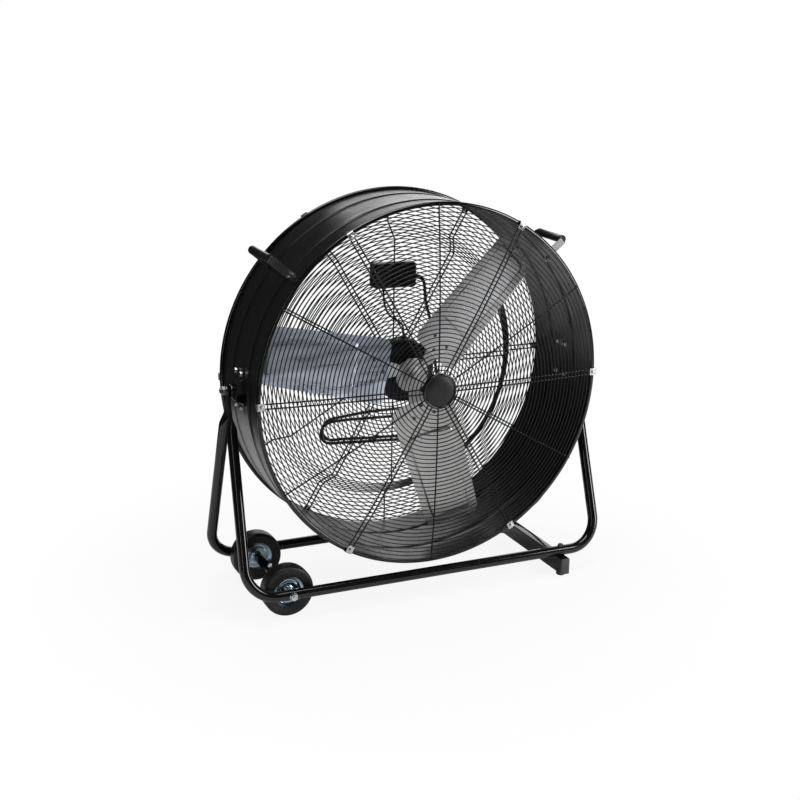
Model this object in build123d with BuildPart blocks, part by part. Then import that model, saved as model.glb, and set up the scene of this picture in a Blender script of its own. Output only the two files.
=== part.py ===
"""Drum fan: a steel drum on a tubular A-frame with two wheels, wire guards and a three-blade rotor.

Millimetres.  X runs along the pivots (the wheels are at -X, the feet at +X), the front of the fan faces -Y
and +Z is up.  The origin is on the floor, midway between the pivots and between the two lower tubes.
"""
import os
from math import asin, cos, degrees, hypot, pi, radians, sin, sqrt, tan

from build123d import *

os.makedirs("parts", exist_ok=True)

# ------------------------------------------------------------------ driving dimensions
pivot_height = 567.0        # tilt axis above the floor
pivot_above_axis = 4.0      # the drum hangs slightly below its pivots
drum_forward = 6.0          # drum centre in front of the pivots, against the weight of the motor

drum_radius = 462.0         # outside of the sheet wall
drum_depth = 303.0
sheet = 1.5
rim_proud = 8.0             # rolled rims, out from the wall
rim_width = 11.0
bead_offset = 58.0          # swaged beads, from the middle of the drum
bead_width = 16.0
bead_height = 4.0

tube_diameter = 27.0
tube_sides = 10             # flats round the tube, two thirds of a millimetre inside the true round at most
tube_bend = 80.0
frame_flare = 11.0          # lower runs reach this far past the flattened ends, on each side
leg_spread = 161.0          # lower runs in front of and behind the pivots
lug_gap = 30.0              # from the drum's wall to the plane where the two flattened tube ends meet
lug_thickness = 5.0
lug_width = 38.0
lug_taper = 42.0            # length of the squeezed stretch below the lug

wheel_radius = 66.5
wheel_width = 44.0
wheel_inset = 116.5         # wheel axle, in from the end of the lower runs
tyre_inner = 39.0
hub_barrel = 12.0
wheel_sides = 36            # flats round a wheel, a quarter of a millimetre inside the true round
shoulder_drop = 6.0
shoulder_width = 9.0
disc_half = 14.0            # half the thickness of the wheel's disc
axle_radius = 5.0
axle_proud = 5.0
axle_nut_flats = 17.0
axle_nut_height = 8.0
running_gap = 0.06

bar_inset = 114.0           # crossbar, in from the other end
bar_width = 25.0
bar_height = 45.0
bar_wall = 1.5
bar_overhang = 29.0         # crossbar past each lower run
cap_flange = 2.5
cap_plug = 14.0
foot_radius = 12.5
foot_offset = 7.0           # feet, out from the lower runs

pivot_bolt_radius = 6.0
pivot_nut_flats = 19.0
pivot_nut_height = 10.0
washer_thickness = 2.0
bracket_width = 62.0
bracket_plate = 3.0
bracket_rise = 21.0         # from the drum wall to the outside of the raised part
bracket_half = 24.0         # half the height of the raised part
bracket_slope = 7.0         # height of each sloping stretch
bracket_flange = 34.0
bracket_bolt_y = 20.0
bracket_bolt_z = 42.0
neck = 7.0                  # square neck of the coach bolts in the drum's sheet
small_bolt_flats = 13.0
small_bolt_head = 5.3
hole_clearance = 0.3
seat_gap = 0.1

handle_angle = 40.0         # above the horizontal, on both sides
handle_reach = 68.0         # centre of the grip from the drum wall
handle_half = 80.0
handle_flange = 12.0        # from the bolt to the upright
handle_strap = 20.0
handle_plate = 3.0
grip_radius = 11.0
grip_gap = 6.0              # from the upright's middle to the end of the grip

guard_wire = 3.0
spoke_wire = 4.0
spoke_pair = 12.0           # spacing of the doubled spokes
guard_sides = 18
round_sides = 32            # flats round the badge, the motor and the other small round covers
front_rings = 3
front_inner = 58.0
front_margin = 6.0          # outermost ring, in from the drum wall
front_dome = 20.0
rear_margin = 2.0
step_inset = 85.0           # rear guard: start of the step, in from the drum wall
step_width = 40.0
rear_recess = 46.0
badge_radius = 45.0
badge_thickness = 9.0
clip_width = 18.0
clip_length = 17.0
clip_plate = 2.0
clip_screw_radius = 4.5

blade_phase = 47.0
blade_pitch = 12.0
blade_plane = -24.0         # blade centre behind (+) or in front of (-) the middle of the drum
blade_root = 62.0
tip_gap = 30.0
blade_root_half = 86.0
blade_tip_half = 73.0
blade_camber = 10.0
blade_sheet = 2.0
blade_corner = 9.0
panel_inset = 20.0          # raised panel, drawn in from the blade's edges
panel_start = 165.0
panel_rise = 3.0
panel_corner = 7.0
panel_wall = 3.0            # width of the panel's pressed edge
arm_half = 25.0
arm_end = 122.0
arm_sheet = 4.0
spider_disc = 37.0
spider_boss = 14.0

motor_radius = 82.0
motor_wall = 3.0
motor_front = 22.0          # front of the motor body, from the middle of the drum
motor_body = 52.0
shaft_radius = 8.0
shaft_front = 50.0          # shaft in front of the motor
bearing_radius = 17.5
bearing_width = 11.0
stator_inner = 45.0
stator_length = 34.0
core_gap = 0.6
plate_radius = 62.0
plate_thickness = 3.0

box_width = 120.0
box_height = 66.0
box_depth = 44.0
box_wall = 2.5
box_corner = 8.0
box_x = 8.0
box_inset = 99.0            # centre of the control box, in from the foot of the guard's step
cover_thickness = 3.0
knob_radius = 17.0
knob_height = 15.0
stem_radius = 3.0
switch_size = 32.0
switch_depth = 24.0

gland_radius = 8.0
gland_length = 6.0
gland_drop = 10.0           # cord gland below the middle of the box's side
lead_radius = 2.5
lead_x = -20.0              # where the motor lead leaves the box
cord_radius = 4.0
cord_sides = 4
hank_near = 117.0            # the two layers of the cord's bundle, behind the middle of the drum
hank_far = 127.0
plug_end = 106.0
plug_y = 129.0
plug_z = -181.0
plug_radius = 16.5
plug_body = 36.0
plug_boot = 12.0
pin_radius = 2.4
pin_length = 19.0
pin_spread = 9.5

# ------------------------------------------------------------------ derived places
axis_height = pivot_height - pivot_above_axis
half_depth = drum_depth / 2
rim_radius = drum_radius + rim_proud
lug_offset = drum_radius + lug_gap
frame_half_width = lug_offset + frame_flare
wheel_place = frame_half_width - wheel_inset
bar_place = frame_half_width - bar_inset
bar_length = 2 * (leg_spread + bar_overhang)
foot_place = leg_spread + foot_offset
handle_radius = drum_radius + handle_reach
front_outer = drum_radius - front_margin
rear_outer = drum_radius - rear_margin
rear_step_outer = drum_radius - step_inset
rear_step_inner = rear_step_outer - step_width
blade_tip = drum_radius - tip_gap
panel_end = blade_tip - panel_inset
box_z = rear_step_inner - box_inset
tube_radius = tube_diameter / 2
fan_axis = Axis((0, -drum_forward, axis_height), (0, 1, 0))
drum_plan = Plane(origin=(0, -drum_forward, axis_height))       # local X outwards, local Y to the rear


def facing(y):
    """Plane across the drum axis at y from the drum's middle, looking out of the front."""
    return Plane(origin=(0, y - drum_forward, axis_height), x_dir=(1, 0, 0), z_dir=(0, -1, 0))


def on_drum(angle, y, radius=drum_radius):
    """Plane that touches a circle about the drum axis, with its normal pointing away from the axis."""
    a = radians(angle)
    place = (radius * cos(a), y - drum_forward, axis_height + radius * sin(a))
    return Plane(origin=place, x_dir=(0, 1, 0), z_dir=(cos(a), 0, sin(a)))


def spoke_plane(angle, offset=0.0):
    """Plane through the drum axis at an angle: local X outwards, local Y to the rear."""
    a = radians(angle)
    place = (-offset * sin(a), -drum_forward, axis_height + offset * cos(a))
    return Plane(origin=place, x_dir=(cos(a), 0, sin(a)), z_dir=(-sin(a), 0, cos(a)))


# ------------------------------------------------------------------ stand: the two bent tubes
leg_rise = pivot_height - wheel_radius
leg_length = hypot(leg_spread, leg_rise)
lug_start = lug_width / 2 * leg_length / leg_spread     # the two lugs clear each other below this
taper_start = lug_start + lug_taper


def squeezed_ring(width, depth):
    """Corners of a flattened tube section, matched one to one with the round section's."""
    turns = [2 * pi * i / tube_sides for i in range(tube_sides)]
    return [(width / 2 * cos(t), depth / 2 * sin(t)) for t in turns]


for name, lean, lug_side in (("front", -1, 1), ("rear", 1, -1)):
    leg_plane = Plane(
        origin=(0, 0, pivot_height),
        x_dir=(1, 0, 0),
        z_dir=(0, -leg_rise / leg_length, -lean * leg_spread / leg_length),
    )
    lower_run = lean * leg_spread
    lug_middle = lug_offset + lug_side * lug_thickness / 2
    top_x = lug_offset + (frame_half_width - lug_offset) * taper_start / leg_length
    with BuildPart() as tube:
        with BuildLine(leg_plane) as route:
            FilletPolyline(
                (-top_x, -taper_start), (-frame_half_width, -leg_length),
                (frame_half_width, -leg_length), (top_x, -taper_start),
                radius=tube_bend,
            )
        path = route.wires()[0]
        with BuildSketch(Plane(origin=path @ 0, x_dir=(1, 0, 0), z_dir=path % 0)):
            Polygon(*squeezed_ring(tube_diameter, tube_diameter), align=None)
        sweep(path=path)
        for side, t in ((-1, 0), (1, 1)):
            # the squeezed stretch, then the flat lug with its bolt hole
            neck_place = leg_plane.from_local_coords(Vector(side * lug_middle, -lug_start, 0))
            with BuildSketch(Plane(origin=path @ t, x_dir=(1, 0, 0), z_dir=leg_plane.y_dir)):
                Polygon(*squeezed_ring(tube_diameter, tube_diameter), align=None)
            with BuildSketch(Plane(origin=neck_place, x_dir=(1, 0, 0), z_dir=leg_plane.y_dir)):
                Polygon(*squeezed_ring(lug_thickness, lug_width), align=None)
            loft(ruled=True)
            lug = Plane(origin=(side * lug_middle - lug_thickness / 2, 0, pivot_height),
                        x_dir=leg_plane.z_dir, z_dir=(1, 0, 0))
            with BuildSketch(lug):
                RegularPolygon(lug_width / 2, tube_sides)
                with Locations((0, lug_start / 2)):
                    Rectangle(lug_width, lug_start)
                RegularPolygon(pivot_bolt_radius + hole_clearance, 12, major_radius=False,
                               mode=Mode.SUBTRACT)
            extrude(amount=lug_thickness)
        with BuildSketch(Plane.XZ.offset(-lower_run)):
            with Locations((-wheel_place, wheel_radius)):
                RegularPolygon(axle_radius + hole_clearance, 12, major_radius=False)
        extrude(amount=tube_radius + 1, both=True, mode=Mode.SUBTRACT)
        with BuildSketch(Plane.XY.offset(wheel_radius)):
            with Locations((bar_place, lower_run)):
                Rectangle(neck + 2 * hole_clearance, neck + 2 * hole_clearance)
        extrude(amount=tube_radius + 1, both=True, mode=Mode.SUBTRACT)
    tube.part.label = f"{name}_frame_tube"
    export_step(tube.part, f"parts/{name}_frame_tube.step")

# ------------------------------------------------------------------ stand: crossbar with caps and feet
bar_top = wheel_radius - tube_radius
bar_bottom = bar_top - bar_height
bar_end = Plane(origin=(bar_place, -bar_length / 2, bar_top - bar_height / 2),
                x_dir=(1, 0, 0), z_dir=(0, -1, 0))

with BuildPart() as crossbar:
    with BuildSketch(bar_end):
        Rectangle(bar_width, bar_height)
        Rectangle(bar_width - 2 * bar_wall, bar_height - 2 * bar_wall, mode=Mode.SUBTRACT)
    extrude(amount=-bar_length)
    with BuildSketch(Plane.XY.offset(bar_top)):
        with Locations((bar_place, -leg_spread), (bar_place, leg_spread)):
            Rectangle(neck + 2 * hole_clearance, neck + 2 * hole_clearance)
    extrude(amount=-2 * bar_wall, mode=Mode.SUBTRACT)
crossbar.part.label = "crossbar"
export_step(crossbar.part, "parts/crossbar.step")

with BuildPart() as crossbar_caps:
    for outwards, face in ((1, bar_end), (-1, bar_end.offset(-bar_length))):
        with BuildSketch(face):
            Rectangle(bar_width, bar_height)
        extrude(amount=outwards * cap_flange)
        with BuildSketch(face):
            Rectangle(bar_width - 2 * bar_wall - 2 * seat_gap, bar_height - 2 * bar_wall - 2 * seat_gap)
        extrude(amount=-outwards * cap_plug)
crossbar_caps.part.label = "crossbar_caps"
export_step(crossbar_caps.part, "parts/crossbar_caps.step")

with BuildPart() as rubber_feet:
    for side in (-1, 1):
        with BuildSketch(Plane(origin=(bar_place, side * foot_place, 0))):
            RegularPolygon(foot_radius, tube_sides)
        extrude(amount=bar_bottom)
rubber_feet.part.label = "rubber_feet"
export_step(rubber_feet.part, "parts/rubber_feet.step")

with BuildPart() as frame_bolts:
    for side in (-1, 1):
        top = Plane(origin=(bar_place, side * leg_spread, wheel_radius + tube_radius))
        with BuildSketch(top):
            RegularPolygon(small_bolt_flats / 2, 6, major_radius=False)
        extrude(amount=small_bolt_head)
        with BuildSketch(top):
            Rectangle(neck, neck)
        extrude(amount=-tube_diameter - bar_wall - small_bolt_head)
        with BuildSketch(top.offset(-tube_diameter - bar_wall)):
            RegularPolygon(small_bolt_flats / 2, 6, major_radius=False)
        extrude(amount=-small_bolt_head)
frame_bolts.part.label = "frame_bolts"
export_step(frame_bolts.part, "parts/frame_bolts.step")

# ------------------------------------------------------------------ stand: wheel axle
wheel_middle = leg_spread - tube_radius - washer_thickness - 1.0 - wheel_width / 2
axle_reach = leg_spread + tube_radius + axle_nut_height + axle_proud
spacer_half = wheel_middle - wheel_width / 2 - 1.0


def axle_plane(y):
    """Plane across the wheel axle at y, looking out of the front."""
    return Plane(origin=(-wheel_place, y, wheel_radius), x_dir=(1, 0, 0), z_dir=(0, -1, 0))


with BuildPart() as wheel_axle:
    with BuildSketch(axle_plane(-axle_reach)):
        Circle(axle_radius)
    extrude(amount=-2 * axle_reach)
wheel_axle.part.label = "wheel_axle"
export_step(wheel_axle.part, "parts/wheel_axle.step")

with BuildPart() as axle_spacer:
    with BuildSketch(axle_plane(-spacer_half)):
        RegularPolygon(hub_barrel, tube_sides)
        RegularPolygon(axle_radius + hole_clearance, tube_sides, major_radius=False, mode=Mode.SUBTRACT)
    extrude(amount=-2 * spacer_half)
axle_spacer.part.label = "axle_spacer"
export_step(axle_spacer.part, "parts/axle_spacer.step")

with BuildPart() as axle_washers:
    for y in (-leg_spread + tube_radius + washer_thickness, leg_spread - tube_radius):
        with BuildSketch(axle_plane(y)):
            RegularPolygon(2 * axle_radius, 12)
            RegularPolygon(axle_radius + hole_clearance, 12, major_radius=False, mode=Mode.SUBTRACT)
        extrude(amount=washer_thickness)
axle_washers.part.label = "axle_washers"
export_step(axle_washers.part, "parts/axle_washers.step")

with BuildPart() as axle_nuts:
    for side in (-1, 1):
        with BuildSketch(axle_plane(side * (leg_spread + tube_radius))):
            RegularPolygon(axle_nut_flats / 2, 6, major_radius=False)
            RegularPolygon(axle_radius + hole_clearance, 12, major_radius=False, mode=Mode.SUBTRACT)
        extrude(amount=-side * axle_nut_height)
axle_nuts.part.label = "axle_nuts"
export_step(axle_nuts.part, "parts/axle_nuts.step")

# ------------------------------------------------------------------ wheels
half = wheel_width / 2
for name, middle in (("front", -wheel_middle), ("rear", wheel_middle)):
    with BuildPart() as tyre:
        with BuildSketch(axle_plane(middle)):
            RegularPolygon(wheel_radius, wheel_sides)
        extrude(amount=half, both=True)
        for end in (0, -1):
            side_face = tyre.faces().sort_by(Axis.Y)[end]
            chamfer(side_face.edges(), length=shoulder_drop, length2=shoulder_width, reference=side_face)
        with BuildSketch(axle_plane(middle - half)):
            RegularPolygon(tyre_inner, wheel_sides)
        extrude(amount=-wheel_width, mode=Mode.SUBTRACT)
    tyre.part.label = f"tyre_{name}"
    export_step(tyre.part, f"parts/tyre_{name}.step")
    with BuildPart() as hub:
        with BuildSketch(axle_plane(middle - disc_half)):
            RegularPolygon(tyre_inner, wheel_sides)
        extrude(amount=-2 * disc_half)
        with BuildSketch(axle_plane(middle - half)):
            RegularPolygon(hub_barrel, tube_sides)
        extrude(amount=-wheel_width)
        with BuildSketch(axle_plane(middle - half)):
            RegularPolygon(axle_radius + running_gap, guard_sides, major_radius=False)
        extrude(amount=-wheel_width, mode=Mode.SUBTRACT)
    hub.part.label = f"wheel_hub_{name}"
    export_step(hub.part, f"parts/wheel_hub_{name}.step")

# ------------------------------------------------------------------ tilt pivots
bracket_face = drum_radius + bracket_rise
pivot_washer = lug_offset - lug_thickness - bracket_face - seat_gap
bolt_end = lug_offset + lug_thickness + washer_thickness + pivot_nut_height + 4.0
bolt_head_inner = bracket_face - bracket_plate - seat_gap


def pivot_plane(x, side):
    """Plane across the tilt axis at x, with its normal pointing away from the drum."""
    return Plane(origin=(side * x, 0, pivot_height), x_dir=(0, side, 0), z_dir=(side, 0, 0))


with BuildPart() as pivot_bolts:
    for side in (-1, 1):
        with BuildSketch(pivot_plane(bolt_head_inner, side)):
            Circle(pivot_bolt_radius)
        extrude(amount=bolt_end - bolt_head_inner)
        with BuildSketch(pivot_plane(bolt_head_inner, side)):
            RegularPolygon(pivot_nut_flats / 2, 6, major_radius=False)
        extrude(amount=-small_bolt_head)
pivot_bolts.part.label = "pivot_bolts"
export_step(pivot_bolts.part, "parts/pivot_bolts.step")

with BuildPart() as pivot_washers:
    for side in (-1, 1):
        for x, thickness in ((bracket_face + seat_gap, pivot_washer),
                             (lug_offset + lug_thickness, washer_thickness)):
            with BuildSketch(pivot_plane(x, side)):
                RegularPolygon(2.2 * pivot_bolt_radius, 12)
                RegularPolygon(pivot_bolt_radius + hole_clearance, 12, major_radius=False,
                               mode=Mode.SUBTRACT)
            extrude(amount=thickness)
pivot_washers.part.label = "pivot_washers"
export_step(pivot_washers.part, "parts/pivot_washers.step")

with BuildPart() as pivot_nuts:
    for side in (-1, 1):
        with BuildSketch(pivot_plane(lug_offset + lug_thickness + washer_thickness, side)):
            RegularPolygon(pivot_nut_flats / 2, 6, major_radius=False)
            RegularPolygon(pivot_bolt_radius + hole_clearance, 12, major_radius=False, mode=Mode.SUBTRACT)
        extrude(amount=pivot_nut_height)
pivot_nuts.part.label = "pivot_nuts"
export_step(pivot_nuts.part, "parts/pivot_nuts.step")

# ------------------------------------------------------------------ drum shell
bracket_bolt_angle = degrees(asin(bracket_bolt_z / drum_radius))
bracket_lift = degrees(asin(pivot_above_axis / drum_radius))
drum_bolt_places = []
for base, turn in ((0.0, 1), (180.0, -1)):
    for z in (-1, 1):
        for y in (-bracket_bolt_y, bracket_bolt_y):
            angle = base + turn * (bracket_lift + z * bracket_bolt_angle)
            drum_bolt_places.append((angle, y + drum_forward))
handle_bolt_places = [(a, y) for a in (handle_angle, 180 - handle_angle)
                      for y in (-handle_half, handle_half)]


def rim_profile(end):
    """Rolled rim at one end of the drum, from the opening outwards and back to the wall."""
    return [(drum_radius - sheet, end * half_depth), (rim_radius, end * half_depth),
            (rim_radius, end * (half_depth - rim_width)), (drum_radius, end * (half_depth - rim_width))]


def bead_profile(middle):
    """Swaged bead that stiffens the sheet."""
    return [(drum_radius, middle - bead_width / 2), (drum_radius + bead_height, middle),
            (drum_radius, middle + bead_width / 2)]


with BuildPart() as drum_shell:
    with BuildSketch(drum_plan):
        with BuildLine():
            Polyline(*rim_profile(-1), *bead_profile(-bead_offset), *bead_profile(bead_offset),
                     *reversed(rim_profile(1)), close=True)
        make_face()
    revolve(axis=fan_axis)
    for angle, y in drum_bolt_places + handle_bolt_places:
        with BuildSketch(on_drum(angle, y)):
            Rectangle(neck + 2 * hole_clearance, neck + 2 * hole_clearance)
        extrude(amount=3 * sheet, both=True, mode=Mode.SUBTRACT)
drum_shell.part.label = "drum_shell"
export_step(drum_shell.part, "parts/drum_shell.step")

# ------------------------------------------------------------------ drum: pivot brackets
def flange_line(z_low, z_high):
    """A flat flange that touches the drum halfway along, as two (x, z) points from the tilt axis."""
    lean = asin(((z_low + z_high) / 2 + pivot_above_axis) / (drum_radius + bracket_plate / 2))
    reach = (z_high - z_low) / 2
    x = (drum_radius + bracket_plate / 2) * cos(lean)
    return [(x + reach * sin(lean), z_low), (x - reach * sin(lean), z_high)]


for name, side in (("left", -1), ("right", 1)):
    low, high = bracket_half + bracket_slope, bracket_half + bracket_flange
    crown = bracket_face - bracket_plate / 2
    with BuildPart() as bracket:
        with BuildSketch(Plane(origin=(0, 0, pivot_height), x_dir=(side, 0, 0), z_dir=(0, -side, 0))):
            with BuildLine():
                Polyline(*flange_line(-high, -low), (crown, -bracket_half), (crown, bracket_half),
                         *flange_line(low, high))
            trace(line_width=bracket_plate)
        extrude(amount=bracket_width / 2, both=True)
        with BuildSketch(pivot_plane(bracket_face, side)):
            Circle(pivot_bolt_radius + running_gap)
        extrude(amount=-2 * bracket_plate, mode=Mode.SUBTRACT)
        for angle, y in drum_bolt_places:
            if side * cos(radians(angle)) > 0:
                with BuildSketch(on_drum(angle, y)):
                    Rectangle(neck + 2 * hole_clearance, neck + 2 * hole_clearance)
                extrude(amount=3 * bracket_plate, both=True, mode=Mode.SUBTRACT)
    bracket.part.label = f"pivot_bracket_{name}"
    export_step(bracket.part, f"parts/pivot_bracket_{name}.step")

with BuildPart() as bracket_bolts:
    for angle, y in drum_bolt_places:
        seat = on_drum(angle, y, drum_radius + bracket_plate + seat_gap)
        with BuildSketch(seat):
            RegularPolygon(small_bolt_flats / 2, 6, major_radius=False)
        extrude(amount=small_bolt_head)
        with BuildSketch(seat):
            Rectangle(neck, neck)
        grip = bracket_plate + sheet + 2 * seat_gap
        extrude(amount=-grip - small_bolt_head)
        with BuildSketch(seat.offset(-grip)):
            Rectangle(small_bolt_flats, small_bolt_flats)
        extrude(amount=-small_bolt_head / 2)
bracket_bolts.part.label = "bracket_bolts"
export_step(bracket_bolts.part, "parts/bracket_bolts.step")

# ------------------------------------------------------------------ drum: carrying handles
grip_half = handle_half - handle_flange - grip_gap
for name, angle in (("left", 180 - handle_angle), ("right", handle_angle)):
    seat = spoke_plane(angle)
    with BuildPart() as strap:
        with BuildSketch(seat):
            with BuildLine():
                Polyline(
                    (drum_radius + handle_plate / 2, -handle_half - handle_flange),
                    (drum_radius + handle_plate / 2, -handle_half + handle_flange),
                    (handle_radius, -handle_half + handle_flange),
                    (handle_radius, handle_half - handle_flange),
                    (drum_radius + handle_plate / 2, handle_half - handle_flange),
                    (drum_radius + handle_plate / 2, handle_half + handle_flange),
                )
            trace(line_width=handle_plate)
        extrude(amount=handle_strap / 2, both=True)
        for y in (-handle_half, handle_half):
            with BuildSketch(on_drum(angle, y)):
                Rectangle(neck + 2 * hole_clearance, neck + 2 * hole_clearance)
            extrude(amount=2 * handle_plate, mode=Mode.SUBTRACT)
    strap.part.label = f"handle_bracket_{name}"
    export_step(strap.part, f"parts/handle_bracket_{name}.step")
    with BuildPart() as grip_part:
        place = seat.from_local_coords(Vector(handle_radius, -grip_half, 0))
        with BuildSketch(Plane(origin=place, x_dir=seat.x_dir, z_dir=(0, 1, 0))):
            RegularPolygon(grip_radius, tube_sides)
            Rectangle(handle_plate + seat_gap, handle_strap + seat_gap, mode=Mode.SUBTRACT)
        extrude(amount=2 * grip_half)
    grip_part.part.label = f"handle_grip_{name}"
    export_step(grip_part.part, f"parts/handle_grip_{name}.step")

with BuildPart() as handle_bolts:
    for angle, y in handle_bolt_places:
        seat = on_drum(angle, y, drum_radius + handle_plate)
        with BuildSketch(seat):
            RegularPolygon(small_bolt_flats / 2, 6, major_radius=False)
        extrude(amount=small_bolt_head)
        with BuildSketch(seat):
            Rectangle(neck, neck)
        extrude(amount=-handle_plate - sheet - small_bolt_head)
        with BuildSketch(seat.offset(-handle_plate - sheet - seat_gap)):
            Rectangle(small_bolt_flats, small_bolt_flats)
        extrude(amount=-small_bolt_head / 2)
handle_bolts.part.label = "handle_bolts"
export_step(handle_bolts.part, "parts/handle_bolts.step")

# ------------------------------------------------------------------ guards
SPOKES = [(a, 0.0) for a in range(30, 360, 60)]
SPOKES += [(a, side * spoke_pair / 2) for a in range(0, 360, 60) for side in (-1, 1)]


def add_spokes(profile):
    """Radial wires: profile holds (radius, y) points along the middle of the wire."""
    for angle, offset in SPOKES:
        with BuildSketch(spoke_plane(angle, offset)) as wire:
            with BuildLine():
                Polyline(*profile)
            trace(line_width=spoke_wire)
        extrude(wire.sketch, amount=spoke_wire / 2, both=True)


def add_ring(radius, y):
    """One ring wire, resting on the outside of the spokes."""
    with BuildSketch(facing(y)) as ring:
        RegularPolygon(radius + guard_wire / 2, guard_sides)
        RegularPolygon(radius - guard_wire / 2, guard_sides, mode=Mode.SUBTRACT)
    extrude(ring.sketch, amount=guard_wire / 2, both=True)


def height_along(profile, radius):
    """The y of a spoke profile at a radius."""
    for (r1, y1), (r2, y2) in zip(profile, profile[1:]):
        if min(r1, r2) <= radius <= max(r1, r2):
            return y1 + (y2 - y1) * (radius - r1) / (r2 - r1)
    return profile[-1][1]


rim_seat = half_depth + spoke_wire / 2
front_profile = [(drum_radius + 4, -rim_seat), (front_outer - 8, -rim_seat),
                 (front_outer * 0.66, -rim_seat - 0.75 * front_dome),
                 (badge_radius - 12, -rim_seat - front_dome)]
with BuildPart() as front_guard:
    add_spokes(front_profile)
    for i in range(front_rings):
        radius = front_inner + (front_outer - front_inner) * i / (front_rings - 1)
        add_ring(radius, height_along(front_profile, radius) - spoke_wire / 2)
front_guard.part.label = "front_guard"
export_step(front_guard.part, "parts/front_guard.step")

rear_profile = [(drum_radius + 4, rim_seat), (rear_step_outer, rim_seat),
                (rear_step_inner, rim_seat - rear_recess), (plate_radius - 8, rim_seat - rear_recess)]
with BuildPart() as rear_guard:
    add_spokes(rear_profile)
    for radius in (rear_outer, rear_step_outer, rear_step_inner, box_z):
        add_ring(radius, height_along(rear_profile, radius) + spoke_wire / 2)
rear_guard.part.label = "rear_guard"
export_step(rear_guard.part, "parts/rear_guard.step")

# ------------------------------------------------------------------ badge and rim clips
badge_back = -rim_seat - front_dome - spoke_wire / 2
with BuildPart() as badge:
    with BuildSketch(facing(badge_back)):
        RegularPolygon(badge_radius, round_sides)
    extrude(amount=badge_thickness)
badge.part.label = "badge"
export_step(badge.part, "parts/badge.step")

for name, end in (("front", -1), ("rear", 1)):
    with BuildPart() as clips:
        for angle in range(0, 360, 60):
            seat = spoke_plane(angle)
            wire = rim_seat + spoke_wire / 2 + guard_wire / 2 + seat_gap
            with BuildSketch(seat):
                with BuildLine():
                    Polyline((drum_radius - clip_length + 6, end * (wire + clip_plate / 2)),
                             (rim_radius + clip_plate / 2 + seat_gap, end * (wire + clip_plate / 2)),
                             (rim_radius + clip_plate / 2 + seat_gap, end * (half_depth - clip_length)))
                trace(line_width=clip_plate)
            extrude(amount=clip_width / 2, both=True)
    clips.part.label = f"{name}_clips"
    export_step(clips.part, f"parts/{name}_clips.step")

with BuildPart() as clip_screws:
    for angle in range(0, 360, 60):
        for end in (-1, 1):
            seat = on_drum(angle, end * (half_depth - clip_length + 4),
                           rim_radius + clip_plate + 2 * seat_gap)
            with BuildSketch(seat):
                RegularPolygon(clip_screw_radius, 6)
            extrude(amount=3.0)
clip_screws.part.label = "clip_screws"
export_step(clip_screws.part, "parts/clip_screws.step")

# ------------------------------------------------------------------ rotor
blade_length = blade_tip - blade_root


def blade_frame(k):
    """Plane of blade k: local X outwards along the blade, local Y across it, normal out of the front."""
    a, p = radians(blade_phase + 120 * k), radians(blade_pitch)
    return Plane(
        origin=(0, blade_plane - drum_forward, axis_height),
        x_dir=(cos(a), 0, sin(a)),
        z_dir=(sin(a) * sin(p), -cos(p), -cos(a) * sin(p)),
    )


def blade_outline(inset, root, tip):
    """Corners of the paddle outline, each side drawn in by inset."""
    return [(root, -blade_root_half + inset), (root, blade_root_half - inset),
            (tip, blade_tip_half - inset), (tip, -blade_tip_half + inset)]


def blade_section(lift):
    """Points along the camber, hollow towards the front: an arc as six flats, 0.25 mm off at most."""
    half = blade_root_half + 1
    bow = (half ** 2 + blade_camber ** 2) / (2 * blade_camber)
    across = [half * i / 3 for i in range(-3, 4)]
    return [(x, lift + bow - blade_camber / 2 - sqrt(bow ** 2 - x ** 2)) for x in across]


def blade_piece(frame, thickness, lift, outline, corner):
    """A cambered sheet cut to an outline; lift moves it out of the front."""
    end_on = Plane(origin=frame.from_local_coords(Vector(blade_root, 0, 0)),
                   x_dir=frame.y_dir, z_dir=frame.x_dir)
    with BuildPart() as piece:
        with BuildSketch(end_on) as section:
            with BuildLine():
                Polyline(*blade_section(lift))
            trace(line_width=thickness)
        extrude(section.sketch, amount=blade_length)
        with BuildSketch(frame) as border:
            with BuildLine():
                Polyline(*outline, close=True)
            make_face()
            chamfer(border.vertices(), corner)
        extrude(border.sketch, amount=30, both=True, mode=Mode.INTERSECT)
    return piece.part


for k in range(3):
    frame = blade_frame(k)
    sheet_piece = blade_piece(frame, blade_sheet, 0, blade_outline(0, blade_root, blade_tip), blade_corner)
    panel = blade_piece(frame, blade_sheet + panel_rise, panel_rise / 2,
                        blade_outline(panel_inset, panel_start, panel_end), panel_corner)
    pressing = blade_piece(frame, blade_sheet + panel_rise, -blade_sheet + panel_rise / 2,
                           blade_outline(panel_inset + panel_wall, panel_start + panel_wall,
                                         panel_end - panel_wall), panel_corner - panel_wall)
    with BuildPart() as blade:
        add(sheet_piece)
        add(panel)
        add(pressing, mode=Mode.SUBTRACT)
    blade.part.label = f"blade_{k + 1}"
    export_step(blade.part, f"parts/blade_{k + 1}.step")

spider_back = blade_plane + 12.0
with BuildPart() as fan_hub:
    boss = facing(spider_back - spider_boss / 2)
    with BuildSketch(boss):
        RegularPolygon(spider_disc, round_sides)
    extrude(amount=-spider_boss)
    for k in range(3):
        frame = blade_frame(k).offset(-(blade_camber + blade_sheet) / 2 - arm_sheet - 0.02)
        with BuildSketch(frame):
            with Locations(((spider_disc + arm_end) / 2 - 8, 0)):
                Rectangle(arm_end - spider_disc + 16, 2 * arm_half)
        extrude(amount=arm_sheet)
    with BuildSketch(boss):
        Circle(shaft_radius)
    extrude(amount=-40, both=True, mode=Mode.SUBTRACT)
fan_hub.part.label = "fan_hub"
export_step(fan_hub.part, "parts/fan_hub.step")

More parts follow.
